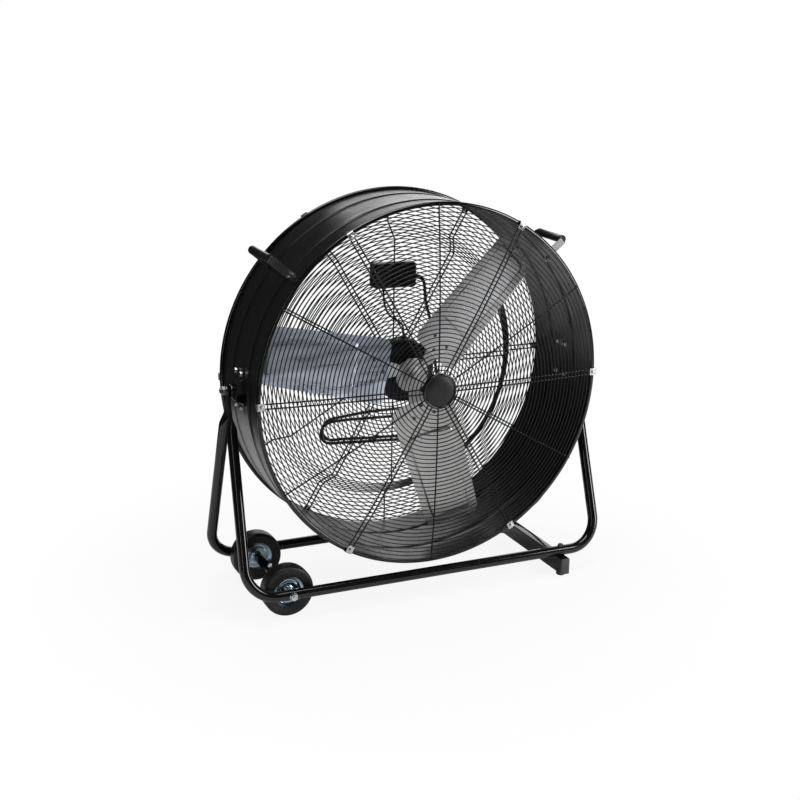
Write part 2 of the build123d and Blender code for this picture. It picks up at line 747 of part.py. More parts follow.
# ------------------------------------------------------------------ motor
motor_back = motor_front + motor_body
plate_front = rim_seat - rear_recess - spoke_wire / 2 - plate_thickness
bell_depth = plate_front - motor_back
stator_front = motor_front + bearing_width + 2.0

with BuildPart() as motor_housing:
    with BuildSketch(facing(motor_front)):
        RegularPolygon(motor_radius, round_sides)
        RegularPolygon(bearing_radius, tube_sides, mode=Mode.SUBTRACT)
    extrude(amount=-motor_body)
    with BuildSketch(facing(motor_front + bearing_width)):
        RegularPolygon(motor_radius - motor_wall, round_sides)
    extrude(amount=-motor_body, mode=Mode.SUBTRACT)
motor_housing.part.label = "motor_housing"
export_step(motor_housing.part, "parts/motor_housing.step")

with BuildPart() as motor_bell:
    with BuildSketch(facing(motor_back)):
        RegularPolygon(motor_radius - 2, round_sides)
    extrude(amount=-bell_depth)
    back_face = motor_bell.faces().sort_by(Axis.Y)[-1]
    chamfer(back_face.edges(), length=motor_radius - 2 - plate_radius, length2=bell_depth - 2,
            reference=back_face)
    with BuildSketch(facing(motor_back)):
        RegularPolygon(bearing_radius, tube_sides)
    extrude(amount=-bearing_width, mode=Mode.SUBTRACT)
motor_bell.part.label = "motor_rear_bell"
export_step(motor_bell.part, "parts/motor_rear_bell.step")

with BuildPart() as motor_bearings:
    for y in (motor_front, motor_back):
        with BuildSketch(facing(y)):
            RegularPolygon(bearing_radius, tube_sides)
            RegularPolygon(shaft_radius + running_gap, round_sides, major_radius=False, mode=Mode.SUBTRACT)
        extrude(amount=-bearing_width)
motor_bearings.part.label = "motor_bearings"
export_step(motor_bearings.part, "parts/motor_bearings.step")

with BuildPart() as motor_stator:
    with BuildSketch(facing(stator_front)):
        RegularPolygon(motor_radius - motor_wall, round_sides)
        RegularPolygon(stator_inner, guard_sides, major_radius=False, mode=Mode.SUBTRACT)
    extrude(amount=-stator_length)
motor_stator.part.label = "motor_stator"
export_step(motor_stator.part, "parts/motor_stator.step")

with BuildPart() as rotor_core:
    with BuildSketch(facing(stator_front)):
        RegularPolygon(stator_inner - core_gap, guard_sides)
        RegularPolygon(shaft_radius, guard_sides, major_radius=False, mode=Mode.SUBTRACT)
    extrude(amount=-stator_length)
rotor_core.part.label = "rotor_core"
export_step(rotor_core.part, "parts/rotor_core.step")

with BuildPart() as motor_plate:
    with BuildSketch(facing(plate_front)):
        RegularPolygon(plate_radius, round_sides)
    extrude(amount=-plate_thickness)
motor_plate.part.label = "motor_mount_plate"
export_step(motor_plate.part, "parts/motor_mount_plate.step")

with BuildPart() as motor_shaft:
    with BuildSketch(facing(motor_front - shaft_front)):
        Circle(shaft_radius)
    extrude(amount=-shaft_front - motor_body - bearing_width + 1)
motor_shaft.part.label = "motor_shaft"
export_step(motor_shaft.part, "parts/motor_shaft.step")

# ------------------------------------------------------------------ control box
box_front = rim_seat - rear_recess + spoke_wire / 2 + guard_wire / 2
knob_face = box_front + box_depth
box_middle = box_front + box_depth / 2


def box_outline(grow):
    """Outline of the control box with its corners cut, made larger by grow on every side."""
    wide, high, cut = box_width / 2 + grow, box_height / 2 + grow, box_corner + grow
    with Locations((box_x, box_z)):
        Polygon((wide, high - cut), (wide - cut, high), (cut - wide, high), (-wide, high - cut),
                (-wide, cut - high), (cut - wide, -high), (wide - cut, -high), (wide, cut - high),
                align=None)


with BuildPart() as control_box:
    with BuildSketch(facing(box_front)):
        box_outline(0)
    extrude(amount=-box_depth + cover_thickness)
    with BuildSketch(facing(box_front + box_wall)):
        box_outline(-box_wall)
    extrude(amount=-box_depth, mode=Mode.SUBTRACT)
control_box.part.label = "control_box"
export_step(control_box.part, "parts/control_box.step")

with BuildPart() as box_cover:
    with BuildSketch(facing(knob_face - cover_thickness)):
        box_outline(0)
        with Locations((box_x, box_z)):
            RegularPolygon(stem_radius + running_gap, tube_sides, major_radius=False, mode=Mode.SUBTRACT)
    extrude(amount=-cover_thickness)
box_cover.part.label = "control_box_cover"
export_step(box_cover.part, "parts/control_box_cover.step")

with BuildPart() as speed_switch:
    with BuildSketch(facing(knob_face - cover_thickness)):
        with Locations((box_x, box_z)):
            Rectangle(switch_size, switch_size)
            RegularPolygon(stem_radius + running_gap, tube_sides, major_radius=False, mode=Mode.SUBTRACT)
    extrude(amount=switch_depth)
speed_switch.part.label = "speed_switch"
export_step(speed_switch.part, "parts/speed_switch.step")

with BuildPart() as speed_knob:
    with BuildSketch(facing(knob_face + running_gap)):
        with Locations((box_x, box_z)):
            RegularPolygon(knob_radius, guard_sides)
    extrude(amount=-knob_height)
    with BuildSketch(facing(knob_face + running_gap)):
        with Locations((box_x, box_z)):
            RegularPolygon(stem_radius, tube_sides)
    extrude(amount=cover_thickness + switch_depth - 2)
speed_knob.part.label = "speed_knob"
export_step(speed_knob.part, "parts/speed_knob.step")

# ------------------------------------------------------------------ cord, motor lead and plug
def at(x, y, z):
    """Point given from the drum's centre."""
    return Vector(x, y - drum_forward, axis_height + z)


def bend_radii(points):
    """Tangent arcs that use nine tenths of the shorter run at every corner."""
    radii = []
    for a, b, c in zip(points, points[1:], points[2:]):
        turn = radians((b - a).get_angle(c - b))
        radii.append(0.45 * min((b - a).length, (c - b).length) / tan(turn / 2))
    return radii


def cord_tube(points, radius):
    """One unbroken tube of a flexible cord along a route of straight runs joined by tangent arcs."""
    radii = bend_radii(points)
    with BuildPart() as tube:
        with BuildLine() as route:
            FilletPolyline(*points, radius=radii)
        path = route.wires()[0]
        with BuildSketch(Plane(origin=path @ 0, z_dir=path % 0)) as section:
            RegularPolygon(radius, cord_sides)
        sweep(section.sketch, path=path)
    filled = tube.part.volume / section.sketch.area / path.length
    print(f"cord of {path.length:.0f} mm, tightest bend {min(radii):.1f} mm, "
          f"volume over section times length {filled:.4f}")
    return tube.part, path


box_side = box_x + box_width / 2
box_under = box_z - box_height / 2
gland_end = at(box_side + gland_length, box_middle, box_z - gland_drop)
supply = [gland_end, gland_end + Vector(14, 0, 0), at(99, 130, 212), at(99, 126, 186), at(100, 121, 158),
          at(109, 118, 124), at(119, hank_near, 88), at(126, hank_near, 48), at(127, hank_near, 10),
          at(134, hank_near, -38), at(146, hank_near, -84), at(156, hank_near, -128),
          at(156, hank_near, -165)]


def u_turn(x, z, radius, y, side, downwards):
    """Four corners of a half turn about (x, z): side +1 turns at its right, -1 at its left."""
    reach = radius * tan(radians(22.5))
    corners = [at(x + side * reach, y, z + radius), at(x + side * radius, y, z + reach),
               at(x + side * radius, y, z - reach), at(x + side * reach, y, z - radius)]
    return corners if downwards else corners[::-1]


inner_turn = u_turn(113, -180, 32, hank_near, 1, True)
hank = [supply[-1], at(156, hank_near, -204), at(138, hank_near, -222), at(92, hank_near, -226),
        at(0, hank_near, -215), at(-92, hank_near, -211), at(-140, hank_near, -207)]
hank += u_turn(-173, -176, 30, hank_near, -1, False)
hank += [at(-140, hank_near, -144), at(-64, hank_near, -147), at(31, hank_near, -150),
         at(90, hank_near, -145)]
hank += inner_turn
hank += [at(80, hank_near + 0.5, -213), at(0, hank_near + 5, -207), at(-80, hank_far - 1, -205),
         at(-135, hank_far - 0.5, -200)]
hank += u_turn(-165, -171, 30, hank_far, -1, False)
hank += [at(-135, hank_far, -138), at(-64, hank_far, -131), at(31, hank_far, -133),
         at(90, hank_far + 0.5, -129)]
hank += u_turn(plug_end + 11, plug_z + 27, 27, plug_y, 1, True)
hank += [at(plug_end, plug_y, plug_z)]

power_cord, supply_path = cord_tube(supply, cord_radius)
power_cord.label = "power_cord"
export_step(power_cord, "parts/power_cord.step")

cord_hank, hank_path = cord_tube(hank, cord_radius)
cord_hank.label = "cord_hank"
export_step(cord_hank, "parts/cord_hank.step")

# least gap between strands, measured on points along the centre line
steps = 400
marks = [hank_path @ (i / steps) for i in range(steps + 1)]
apart = int(steps * 10 * cord_radius / hank_path.length) + 1
least = min((marks[i] - marks[j]).length for i in range(steps + 1) for j in range(i + apart, steps + 1))
print(f"least gap between strands of the hank {least - 2 * cord_radius:.2f} mm")

with BuildPart() as power_plug:
    plug_face = Plane(origin=at(plug_end, plug_y, plug_z), x_dir=(0, 1, 0), z_dir=(-1, 0, 0))
    with BuildSketch(plug_face):
        RegularPolygon(cord_radius + 3, 12)
    extrude(amount=plug_boot)
    with BuildSketch(plug_face.offset(plug_boot)):
        RegularPolygon(plug_radius, 12)
    extrude(amount=plug_body)
    with BuildSketch(plug_face.offset(plug_boot + plug_body)):
        with Locations((-pin_spread, 0), (pin_spread, 0)):
            RegularPolygon(pin_radius, 8)
    extrude(amount=pin_length)
power_plug.part.label = "power_plug"
export_step(power_plug.part, "parts/power_plug.step")

lead_angle = 7.5 * 360 / round_sides
lead_way = Vector(cos(radians(lead_angle)), 0, sin(radians(lead_angle)))
motor_flat = motor_radius * cos(pi / round_sides)
lead_top = at(lead_x, box_middle - 3, box_under - gland_length)
lead_end = at(0, motor_front + 42, 0) + lead_way * (motor_flat + gland_length)
lead_route = [lead_top, lead_top + Vector(0, 0, -30), at(-13, 127, 143), at(-11, 108, 132.5),
              at(0, 87, 125), lead_end + lead_way * 28, lead_end]
motor_lead, lead_path = cord_tube(lead_route, lead_radius)
motor_lead.label = "motor_lead"
export_step(motor_lead, "parts/motor_lead.step")

with BuildPart() as cord_glands:
    with BuildSketch(Plane(origin=gland_end, x_dir=(0, 1, 0), z_dir=(-1, 0, 0))):
        RegularPolygon(gland_radius, 12)
    extrude(amount=gland_length)
    with BuildSketch(Plane(origin=lead_top, x_dir=(1, 0, 0), z_dir=(0, 0, 1))):
        RegularPolygon(gland_radius - 2, 12)
    extrude(amount=gland_length)
    with BuildSketch(Plane(origin=lead_end, x_dir=(0, 1, 0), z_dir=-lead_way)):
        RegularPolygon(gland_radius - 2, 12)
    extrude(amount=gland_length)
cord_glands.part.label = "cord_glands"
export_step(cord_glands.part, "parts/cord_glands.step")
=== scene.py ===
# %% [markdown]
# A drum fan: a wide steel drum with a three-blade rotor, wire guards front and back, tilting in a stand of
# two bent tubes on wheels.  The sizes come from the CAD model, which is loaded first as a fixed frame.
# Every piece made here stands where its CAD solid stands, and moves with the same body.

from math import cos, pi, radians, sin, sqrt, tan

import bmesh
import bpy
from mathutils import Matrix, Vector


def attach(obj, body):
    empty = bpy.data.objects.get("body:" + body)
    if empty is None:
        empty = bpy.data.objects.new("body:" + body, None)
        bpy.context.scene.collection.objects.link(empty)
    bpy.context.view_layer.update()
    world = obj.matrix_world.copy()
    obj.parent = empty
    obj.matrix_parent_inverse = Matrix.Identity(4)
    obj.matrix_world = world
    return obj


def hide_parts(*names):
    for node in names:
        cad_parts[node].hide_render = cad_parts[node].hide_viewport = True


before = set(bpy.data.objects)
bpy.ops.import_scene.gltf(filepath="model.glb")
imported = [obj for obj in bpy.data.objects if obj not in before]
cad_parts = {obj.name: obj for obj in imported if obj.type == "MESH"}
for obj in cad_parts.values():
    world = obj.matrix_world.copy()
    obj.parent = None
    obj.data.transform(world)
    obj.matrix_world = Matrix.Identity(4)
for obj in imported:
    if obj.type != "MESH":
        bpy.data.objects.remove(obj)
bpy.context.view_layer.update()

# %% [markdown]
# The workshop thinks in millimetres and Blender in metres, so `mm` changes one into the other.  Most places
# are easiest to give from the middle of the drum, whose axis runs along Y.

# %% Places
MM = 0.001
DRUM_MIDDLE = Vector((0.0, -6.0, 563.0))
TILT_HEIGHT = 567.0
X_WAY, Y_WAY, Z_WAY = Vector((1, 0, 0)), Vector((0, 1, 0)), Vector((0, 0, 1))


def mm(x, y, z):
    """A point of the stand, given in millimetres."""
    return Vector((x, y, z)) * MM


def from_drum(x, y, z):
    """A point given in millimetres from the middle of the drum."""
    return (DRUM_MIDDLE + Vector((x, y, z))) * MM


def axes_at(origin, x_way, y_way, z_way):
    """A matrix whose columns are the three ways of a workpiece."""
    turn = Matrix((x_way, y_way, z_way)).transposed().to_4x4()
    return Matrix.Translation(origin) @ turn


def spoke_ways(angle):
    """The way outwards at an angle round the drum, in degrees, and the way across it."""
    a = radians(angle)
    return Vector((cos(a), 0, sin(a))), Vector((-sin(a), 0, cos(a)))


def on_drum(angle, y, radius):
    """A seat on the drum: local Z points away from the drum's axis, local X along the axis."""
    out = spoke_ways(angle)[0]
    return axes_at(from_drum(*(out * radius + Y_WAY * y)), Y_WAY, out.cross(Y_WAY), out)


print("middle of the drum:", from_drum(0, 0, 0)[:])

# %% [markdown]
# The camera stands where the photographer stood: in front of the fan, to its left and a little above it.
# Its place and lens were worked out from ellipses of the drum's rims, so shapes line up with the picture.

# %% Camera
lens = bpy.data.cameras.new("camera")
lens.lens = 63.54
lens.sensor_width = 36.0
camera = bpy.data.objects.new("camera", lens)
camera.location = (-1.4975, -3.2366, 1.5222)
camera.rotation_euler = (radians(73.848), radians(-0.845), radians(-24.235))
bpy.context.scene.collection.objects.link(camera)
bpy.context.scene.camera = camera
bpy.context.scene.view_settings.view_transform = "Standard"
print("camera:", camera.location[:])

# %% [markdown]
# Black paint is seen by what it reflects.  A tall soft box in front to the right draws the bright lines along
# the tubes, a large one overhead fills the rest, and two weaker ones stand at the left and behind.  The floor
# is white for the camera but keeps a shadow.  In what the paint mirrors, the floor's glow is darker under the
# fan: a painted shade.

# %% Light and floor


def soft_box(name, place, aim, width, height, power):
    """A rectangular lamp that faces a point."""
    lamp = bpy.data.lights.new(name, "AREA")
    lamp.shape = "RECTANGLE"
    lamp.size, lamp.size_y, lamp.energy = width, height, power
    box = bpy.data.objects.new(name, lamp)
    box.location = place
    box.rotation_euler = (Vector(aim) - Vector(place)).to_track_quat("-Z", "Y").to_euler()
    box.visible_camera = False
    bpy.context.scene.collection.objects.link(box)
    return box


def map_range(tree, value, out, start=(0.0, 1.0), smooth=False):
    """A node that carries a value from the range start to the range out."""
    node = tree.nodes.new("ShaderNodeMapRange")
    if smooth:
        node.interpolation_type = "SMOOTHSTEP"
    node.inputs["From Min"].default_value, node.inputs["From Max"].default_value = start
    node.inputs["To Min"].default_value, node.inputs["To Max"].default_value = out
    tree.links.new(value, node.inputs["Value"])
    return node.outputs["Result"]


def combine(tree, operation, *values):
    """A math node; each value is the output of another node or a number."""
    node = tree.nodes.new("ShaderNodeMath")
    node.operation = operation
    for socket, value in zip(node.inputs, values):
        if isinstance(value, float):
            socket.default_value = value
        else:
            tree.links.new(value, socket)
    return node.outputs[0]


soft_box("box_left", (-2.3, -2.3, 1.3), (0, 0, 0.5), 0.16, 2.4, 8)
soft_box("box_right", (2.5, -2.25, 1.5), (0, 0, 0.5), 0.8, 2.4, 85)
soft_box("box_above", (-0.3, -0.2, 3.1), (0, 0, 0.5), 2.4, 1.5, 62)
soft_box("box_behind", (1.6, 2.9, 1.5), (0, 0, 0.6), 2.6, 2.0, 30)

SKY_GLOW = 0.045                             # the world's light, for all but the camera
SHADOW_GLOW, SHADOW_FADE = 0.90, (0.45, 1.15)  # the floor's glow near the fan, and where it becomes full, in metres
MIRRORED_GLOW = 0.42                         # the floor's glow as the paint mirrors it
# painted shade: the floor's glow, as the paint mirrors it, drops to this share under the fan
MIRRORED_PAINTED_SHADE, MIRRORED_FADE = 0.15, (0.2, 0.7)

world = bpy.data.worlds.new("studio")
world.use_nodes = True
bpy.context.scene.world = world
air = world.node_tree
rays = air.nodes.new("ShaderNodeLightPath")
seen = combine(air, "MAXIMUM", rays.outputs["Is Camera Ray"], rays.outputs["Is Transmission Ray"])
air.links.new(map_range(air, seen, (SKY_GLOW, 1.0)), air.nodes["Background"].inputs["Strength"])
air.nodes["Background"].inputs["Color"].default_value = (1, 1, 1, 1)

plane = bmesh.new()
bmesh.ops.create_circle(plane, cap_ends=True, segments=96, radius=2.3, matrix=Matrix.Translation((0.3, -0.7, 0)))
floor_mesh = bpy.data.meshes.new("floor")
plane.to_mesh(floor_mesh)
plane.free()
floor = bpy.data.objects.new("floor", floor_mesh)
bpy.context.scene.collection.objects.link(floor)
paper = bpy.data.materials.new("white_paper")
paper.use_nodes = True
sheet_tree = paper.node_tree
sheet_tree.nodes["Principled BSDF"].inputs["Base Color"].default_value = (0.86, 0.86, 0.86, 1)
sheet_tree.nodes["Principled BSDF"].inputs["Roughness"].default_value = 0.9
glow = sheet_tree.nodes.new("ShaderNodeEmission")
blend = sheet_tree.nodes.new("ShaderNodeMixShader")
lit = sheet_tree.nodes.new("ShaderNodeLightPath")
spot = sheet_tree.nodes.new("ShaderNodeTexCoord")
away = sheet_tree.nodes.new("ShaderNodeVectorMath")
away.operation = "LENGTH"
sheet_tree.links.new(spot.outputs["Object"], away.inputs[0])
distance = away.outputs["Value"]
fade = map_range(sheet_tree, distance, (SHADOW_GLOW, 1.0), SHADOW_FADE, smooth=True)
# painted shade: the mirrored floor glow is darker near the fan
painted_shade_under_fan = map_range(sheet_tree, distance, (MIRRORED_PAINTED_SHADE, 1.0), MIRRORED_FADE, smooth=True)
share = combine(sheet_tree, "MULTIPLY", lit.outputs["Is Camera Ray"], fade)
mirrored = combine(sheet_tree, "MULTIPLY", lit.outputs["Is Glossy Ray"], painted_shade_under_fan)
sheet_tree.links.new(combine(sheet_tree, "MULTIPLY_ADD", mirrored, MIRRORED_GLOW, share), blend.inputs["Fac"])
sheet_tree.links.new(sheet_tree.nodes["Principled BSDF"].outputs[0], blend.inputs[1])
sheet_tree.links.new(glow.outputs[0], blend.inputs[2])
sheet_tree.links.new(blend.outputs[0], sheet_tree.nodes["Material Output"].inputs["Surface"])
floor_mesh.materials.append(paper)
print("lamps: 4, floor: a disc of 4.6 m")

# %% [markdown]
# Nearly every finish on the fan is one of three kinds: paint or plastic, bare metal, and rubber.  Each one
# is a plain shader whose colour, shine and grain wander a little with two noises, because a real coat is
# never even.  The noises read Object coordinates, so they stay on the piece from every side.

# %% Finishes


def new_finish(name, dark, light, shine, grain, metal=0.0, specular=0.5, stretch=(1, 1, 1), turn=0.0, detail=6.0):
    """A finish whose colour runs from dark to light, its roughness over shine and its bump over grain."""
    finish = bpy.data.materials.new(name)
    finish.use_nodes = True
    tree = finish.node_tree
    shader = tree.nodes["Principled BSDF"]
    shader.inputs["Metallic"].default_value = metal
    shader.inputs["Specular IOR Level"].default_value = specular
    where = tree.nodes.new("ShaderNodeTexCoord")
    lay = tree.nodes.new("ShaderNodeMapping")
    lay.inputs["Scale"].default_value = stretch
    lay.inputs["Rotation"].default_value = (0, turn, 0)
    tree.links.new(where.outputs["Object"], lay.inputs["Vector"])
    cloud = tree.nodes.new("ShaderNodeTexNoise")
    cloud.inputs["Scale"].default_value = 22.0
    cloud.inputs["Detail"].default_value = detail
    tree.links.new(lay.outputs["Vector"], cloud.inputs["Vector"])
    tint = tree.nodes.new("ShaderNodeValToRGB")
    tint.color_ramp.elements[0].position = 0.35
    tint.color_ramp.elements[0].color = (*dark, 1)
    tint.color_ramp.elements[1].position = 0.7
    tint.color_ramp.elements[1].color = (*light, 1)
    tree.links.new(cloud.outputs["Fac"], tint.inputs["Fac"])
    tree.links.new(tint.outputs["Color"], shader.inputs["Base Color"])
    tree.links.new(map_range(tree, cloud.outputs["Fac"], shine, (0.3, 0.7)), shader.inputs["Roughness"])
    pits = tree.nodes.new("ShaderNodeTexNoise")
    pits.inputs["Scale"].default_value = grain[0]
    pits.inputs["Detail"].default_value = 3.0
    tree.links.new(lay.outputs["Vector"], pits.inputs["Vector"])
    bump = tree.nodes.new("ShaderNodeBump")
    bump.inputs["Strength"].default_value = grain[1]
    bump.inputs["Distance"].default_value = 0.0004
    tree.links.new(pits.outputs["Fac"], bump.inputs["Height"])
    tree.links.new(bump.outputs["Normal"], shader.inputs["Normal"])
    return finish


def grey(value):
    """A neutral colour."""
    return (value, value, value)


tube_paint = new_finish("tube_paint", grey(0.003), grey(0.005), (0.10, 0.15), (500, 0.01))
drum_paint = new_finish("drum_paint", grey(0.004), grey(0.006), (0.26, 0.34), (420, 0.04))
wire_coat = new_finish("wire_coat", grey(0.003), grey(0.005), (0.30, 0.38), (700, 0.05), specular=0.35)
motor_paint = new_finish("motor_paint", grey(0.004), grey(0.007), (0.36, 0.46), (600, 0.10), specular=0.3)
moulded_black = new_finish("moulded_black", grey(0.006), grey(0.010), (0.36, 0.46), (1500, 0.15), specular=0.35)
grip_black = new_finish("grip_black", grey(0.005), grey(0.009), (0.26, 0.36), (1200, 0.10), specular=0.45)
tyre_rubber = new_finish("tyre_rubber", grey(0.006), grey(0.011), (0.36, 0.50), (800, 0.20), specular=0.4)
cord_rubber = new_finish("cord_rubber", grey(0.004), grey(0.007), (0.36, 0.46), (1400, 0.10), specular=0.35)
strap_steel = new_finish("strap_steel", grey(0.12), grey(0.17), (0.36, 0.46), (600, 0.08), metal=0.9)
plug_grey = new_finish("plug_grey", grey(0.035), grey(0.055), (0.38, 0.50), (1200, 0.15))
bright_zinc = new_finish("bright_zinc", (0.50, 0.51, 0.53), (0.72, 0.73, 0.75), (0.20, 0.32), (400, 0.10), metal=1.0)
dull_zinc = new_finish("dull_zinc", grey(0.09), grey(0.15), (0.26, 0.36), (400, 0.10), metal=1.0)
blue_zinc = new_finish("blue_zinc", (0.28, 0.38, 0.46), (0.54, 0.64, 0.70), (0.16, 0.26), (300, 0.08), metal=1.0)
hub_sheet = new_finish("hub_sheet", grey(0.38), grey(0.48), (0.36, 0.48), (500, 0.10), metal=0.6)
shaft_steel = new_finish("shaft_steel", grey(0.40), grey(0.52), (0.26, 0.36), (500, 0.10), metal=1.0)
core_steel = new_finish("core_steel", (0.20, 0.17, 0.15), (0.28, 0.24, 0.21), (0.45, 0.6), (900, 0.3), metal=0.6)
pointer_white = new_finish("pointer_white", grey(0.55), grey(0.65), (0.40, 0.50), (900, 0.05))
print("finishes:", len([m for m in bpy.data.materials if m.use_nodes]))

# %% [markdown]
# Mill-finish aluminium has fine lines along the sheet, left by the rolls.  A noise that is squeezed across
# the blade and drawn out along it gives those lines, so each blade has its own turn of the same finish.  The
# second blade's finish is also tinted blue, a painted reflection of what its face mirrors.

# %% Blade finish
BLADE_ANGLES = (47.0, 167.0, 287.0)
# the first and third tints are the plain aluminium; the second one's blue is a painted reflection
BLADE_TONES_AND_PAINTED_REFLECTION = ((0.60, 0.60, 0.61), (0.62, 0.68, 0.79), (0.62, 0.62, 0.61))
blade_finishes = []
for number, (angle, tint) in enumerate(zip(BLADE_ANGLES, BLADE_TONES_AND_PAINTED_REFLECTION), 1):
    blade_finishes.append(new_finish(
        f"blade_sheet_{number}", tuple(0.86 * part for part in tint), tint, (0.25, 0.36), (90, 0.01), metal=0.87,
        stretch=(0.3, 0.3, 2.5), turn=radians(angle), detail=1.0))
print("blade finishes:", [m.name for m in blade_finishes])

# %% [markdown]
# A few small tools make all the metalwork.  `deliver` turns a bmesh into a piece of the fan: it closes the
# seams, points the faces outwards, gives the finish and says which body carries the piece.

# %% Handing a piece over


def deliver(name, shape, body, finish, replaces=(), crease=35, bevel=None):
    """Makes the bmesh a piece of the fan and prints its size."""
    bmesh.ops.remove_doubles(shape, verts=shape.verts, dist=0.000002)
    bmesh.ops.recalc_face_normals(shape, faces=shape.faces)
    mesh = bpy.data.meshes.new(name)
    shape.to_mesh(mesh)
    shape.free()
    mesh.materials.append(finish)
    piece = bpy.data.objects.new(name, mesh)
    bpy.context.scene.collection.objects.link(piece)
    mesh.shade_smooth()
    mesh.set_sharp_from_angle(angle=radians(crease))
    if bevel:
        edge = piece.modifiers.new("edge", "BEVEL")
        edge.width, edge.segments, edge.limit_method = bevel * MM, 2, "ANGLE"
        edge.angle_limit = radians(40)
        edge.harden_normals = True
    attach(piece, body)
    if replaces:
        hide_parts(*replaces)
    print(f"{name}: {len(mesh.polygons)} faces")
    return piece


# %% [markdown]
# Round things are turned: half an outline is spun once round its axis, as on a lathe.

# %% Turning


def turn(shape, outline, middle, steps, closed=True):
    """Spins (radius, y) points round an axis along Y through a point given in millimetres."""
    corners = [shape.verts.new(mm(r, y, 0)) for r, y in outline]
    pairs = zip(corners, corners[1:] + corners[:1]) if closed else zip(corners, corners[1:])
    lines = [shape.edges.new(pair) for pair in pairs]
    bmesh.ops.spin(shape, geom=corners + lines, cent=(0, 0, 0), axis=(0, 1, 0), angle=2 * pi, steps=steps,
                   use_merge=True)
    ring = set(corners)
    grown = list(corners)
    for vert in grown:
        for edge in vert.link_edges:
            other = edge.other_vert(vert)
            if other not in ring:
                ring.add(other)
                grown.append(other)
    bmesh.ops.translate(shape, verts=grown, vec=middle * MM)


def turned(outline, middle, steps, closed=True):
    """A new bmesh with one turned shape."""
    shape = bmesh.new()
    turn(shape, outline, middle, steps, closed)
    return shape


print("turning ready")

# %% [markdown]
# Tubes, wires and cords are drawn: a ring is pulled from station to station.  Each station is a matrix, so a
# ring may turn with a bend and may also change its width, which gives the squeezed ends of the stand's tubes.

# %% Drawing


def station(centre, along, side, half_side, half_up):
    """A ring's place: along is the way it is drawn, side the way of its first width (in millimetres)."""
    along = along.normalized()
    side = (side - along * side.dot(along)).normalized()
    up = along.cross(side)
    return axes_at(centre, side * half_side * MM, up * half_up * MM, along)


def draw_tube(shape, stations, sides, ends=True):
    """Pulls a ring through the stations."""
    ring = bmesh.ops.create_circle(shape, cap_ends=False, segments=sides, radius=1.0, matrix=stations[0])["verts"]
    members = set(ring)
    edges = [e for v in ring for e in v.link_edges if e.other_vert(v) in members]
    edges = list(dict.fromkeys(edges))
    if ends:
        bmesh.ops.contextual_create(shape, geom=edges)
    for before, after in zip(stations, stations[1:]):
        pulled = bmesh.ops.extrude_edge_only(shape, edges=edges)["geom"]
        ring = [g for g in pulled if isinstance(g, bmesh.types.BMVert)]
        members = set(ring)
        edges = [g for g in pulled if isinstance(g, bmesh.types.BMEdge)
                 and g.verts[0] in members and g.verts[1] in members]
        bmesh.ops.transform(shape, matrix=after @ before.inverted(), verts=ring)
    if ends:
        bmesh.ops.contextual_create(shape, geom=edges)


def round_corners(points, radius, steps=8):
    """A line of runs whose corners are rounded with tangent arcs."""
    line = [points[0]]
    for before, corner, after in zip(points, points[1:], points[2:]):
        back, on = (before - corner).normalized(), (after - corner).normalized()
        half = back.angle(on) / 2
        reach = radius / tan(half)
        middle = corner + (back + on).normalized() * (radius / sin(half))
        start, end = corner + back * reach, corner + on * reach
        first, last = start - middle, end - middle
        for i in range(steps + 1):
            line.append(middle + first.slerp(last, i / steps).normalized() * radius)
    return line + [points[-1]]


def heading(line, i):
    """The way of a line of points at its point i."""
    return line[min(i + 1, len(line) - 1)] - line[max(i - 1, 0)]


def stations_along(line, side, half):
    """Round rings along a line of points in metres; half is the tube's radius in millimetres."""
    return [station(point, heading(line, i), side, half, half) for i, point in enumerate(line)]


print("drawing ready")

# %% [markdown]
# Flat strip is bent and blocks are cut.  Bolts share one tool, because the same hexagon is used on the
# drum, the pivots and the wheels: a prism with a washer face below and a turned-down corner above.

# %% Strips, blocks and bolts
BOLT_FLATS, NUT_SEAT = 13, 460.4


def bend_strip(shape, line, width_way, thickness):
    """A strip whose middle follows the line; width_way is half its width as a vector, in metres."""
    verts = [shape.verts.new(p - width_way) for p in line]
    edges = [shape.edges.new(pair) for pair in zip(verts, verts[1:])]
    pulled = bmesh.ops.extrude_edge_only(shape, edges=edges)["geom"]
    bmesh.ops.translate(shape, vec=width_way * 2, verts=[g for g in pulled if isinstance(g, bmesh.types.BMVert)])
    faces = [g for g in pulled if isinstance(g, bmesh.types.BMFace)]
    bmesh.ops.recalc_face_normals(shape, faces=faces)
    bmesh.ops.solidify(shape, geom=faces, thickness=thickness * MM)


def round_edges(shape, edges, width, segments):
    """Rounds the edges, each once, by a width in millimetres."""
    bmesh.ops.bevel(shape, geom=list(dict.fromkeys(edges)), offset=width * MM, offset_type="OFFSET",
                    segments=segments, profile=0.5, affect="EDGES", material=-1)


def cut_block(shape, place, size, edge, segments=3):
    """A block of size millimetres whose edges are rounded."""
    made = bmesh.ops.create_cube(shape, size=1.0, matrix=place @ Matrix.Diagonal((*(Vector(size) * MM), 1)))
    round_edges(shape, (e for v in made["verts"] for e in v.link_edges), edge, segments)


def add_prism(shape, place, radius, height, sides, edge=0.0):
    """A prism that stands on place; its top edge is rounded."""
    made = bmesh.ops.create_cone(shape, cap_ends=True, segments=sides, radius1=radius * MM, radius2=radius * MM,
                                 depth=height * MM, matrix=place @ Matrix.Translation((0, 0, height * MM / 2)))
    if edge:
        inverse = place.inverted()
        top = [v for v in made["verts"] if (inverse @ v.co).z > height * MM * 0.9]
        round_edges(shape, (e for v in top for e in v.link_edges if e.other_vert(v) in top), edge, 2)


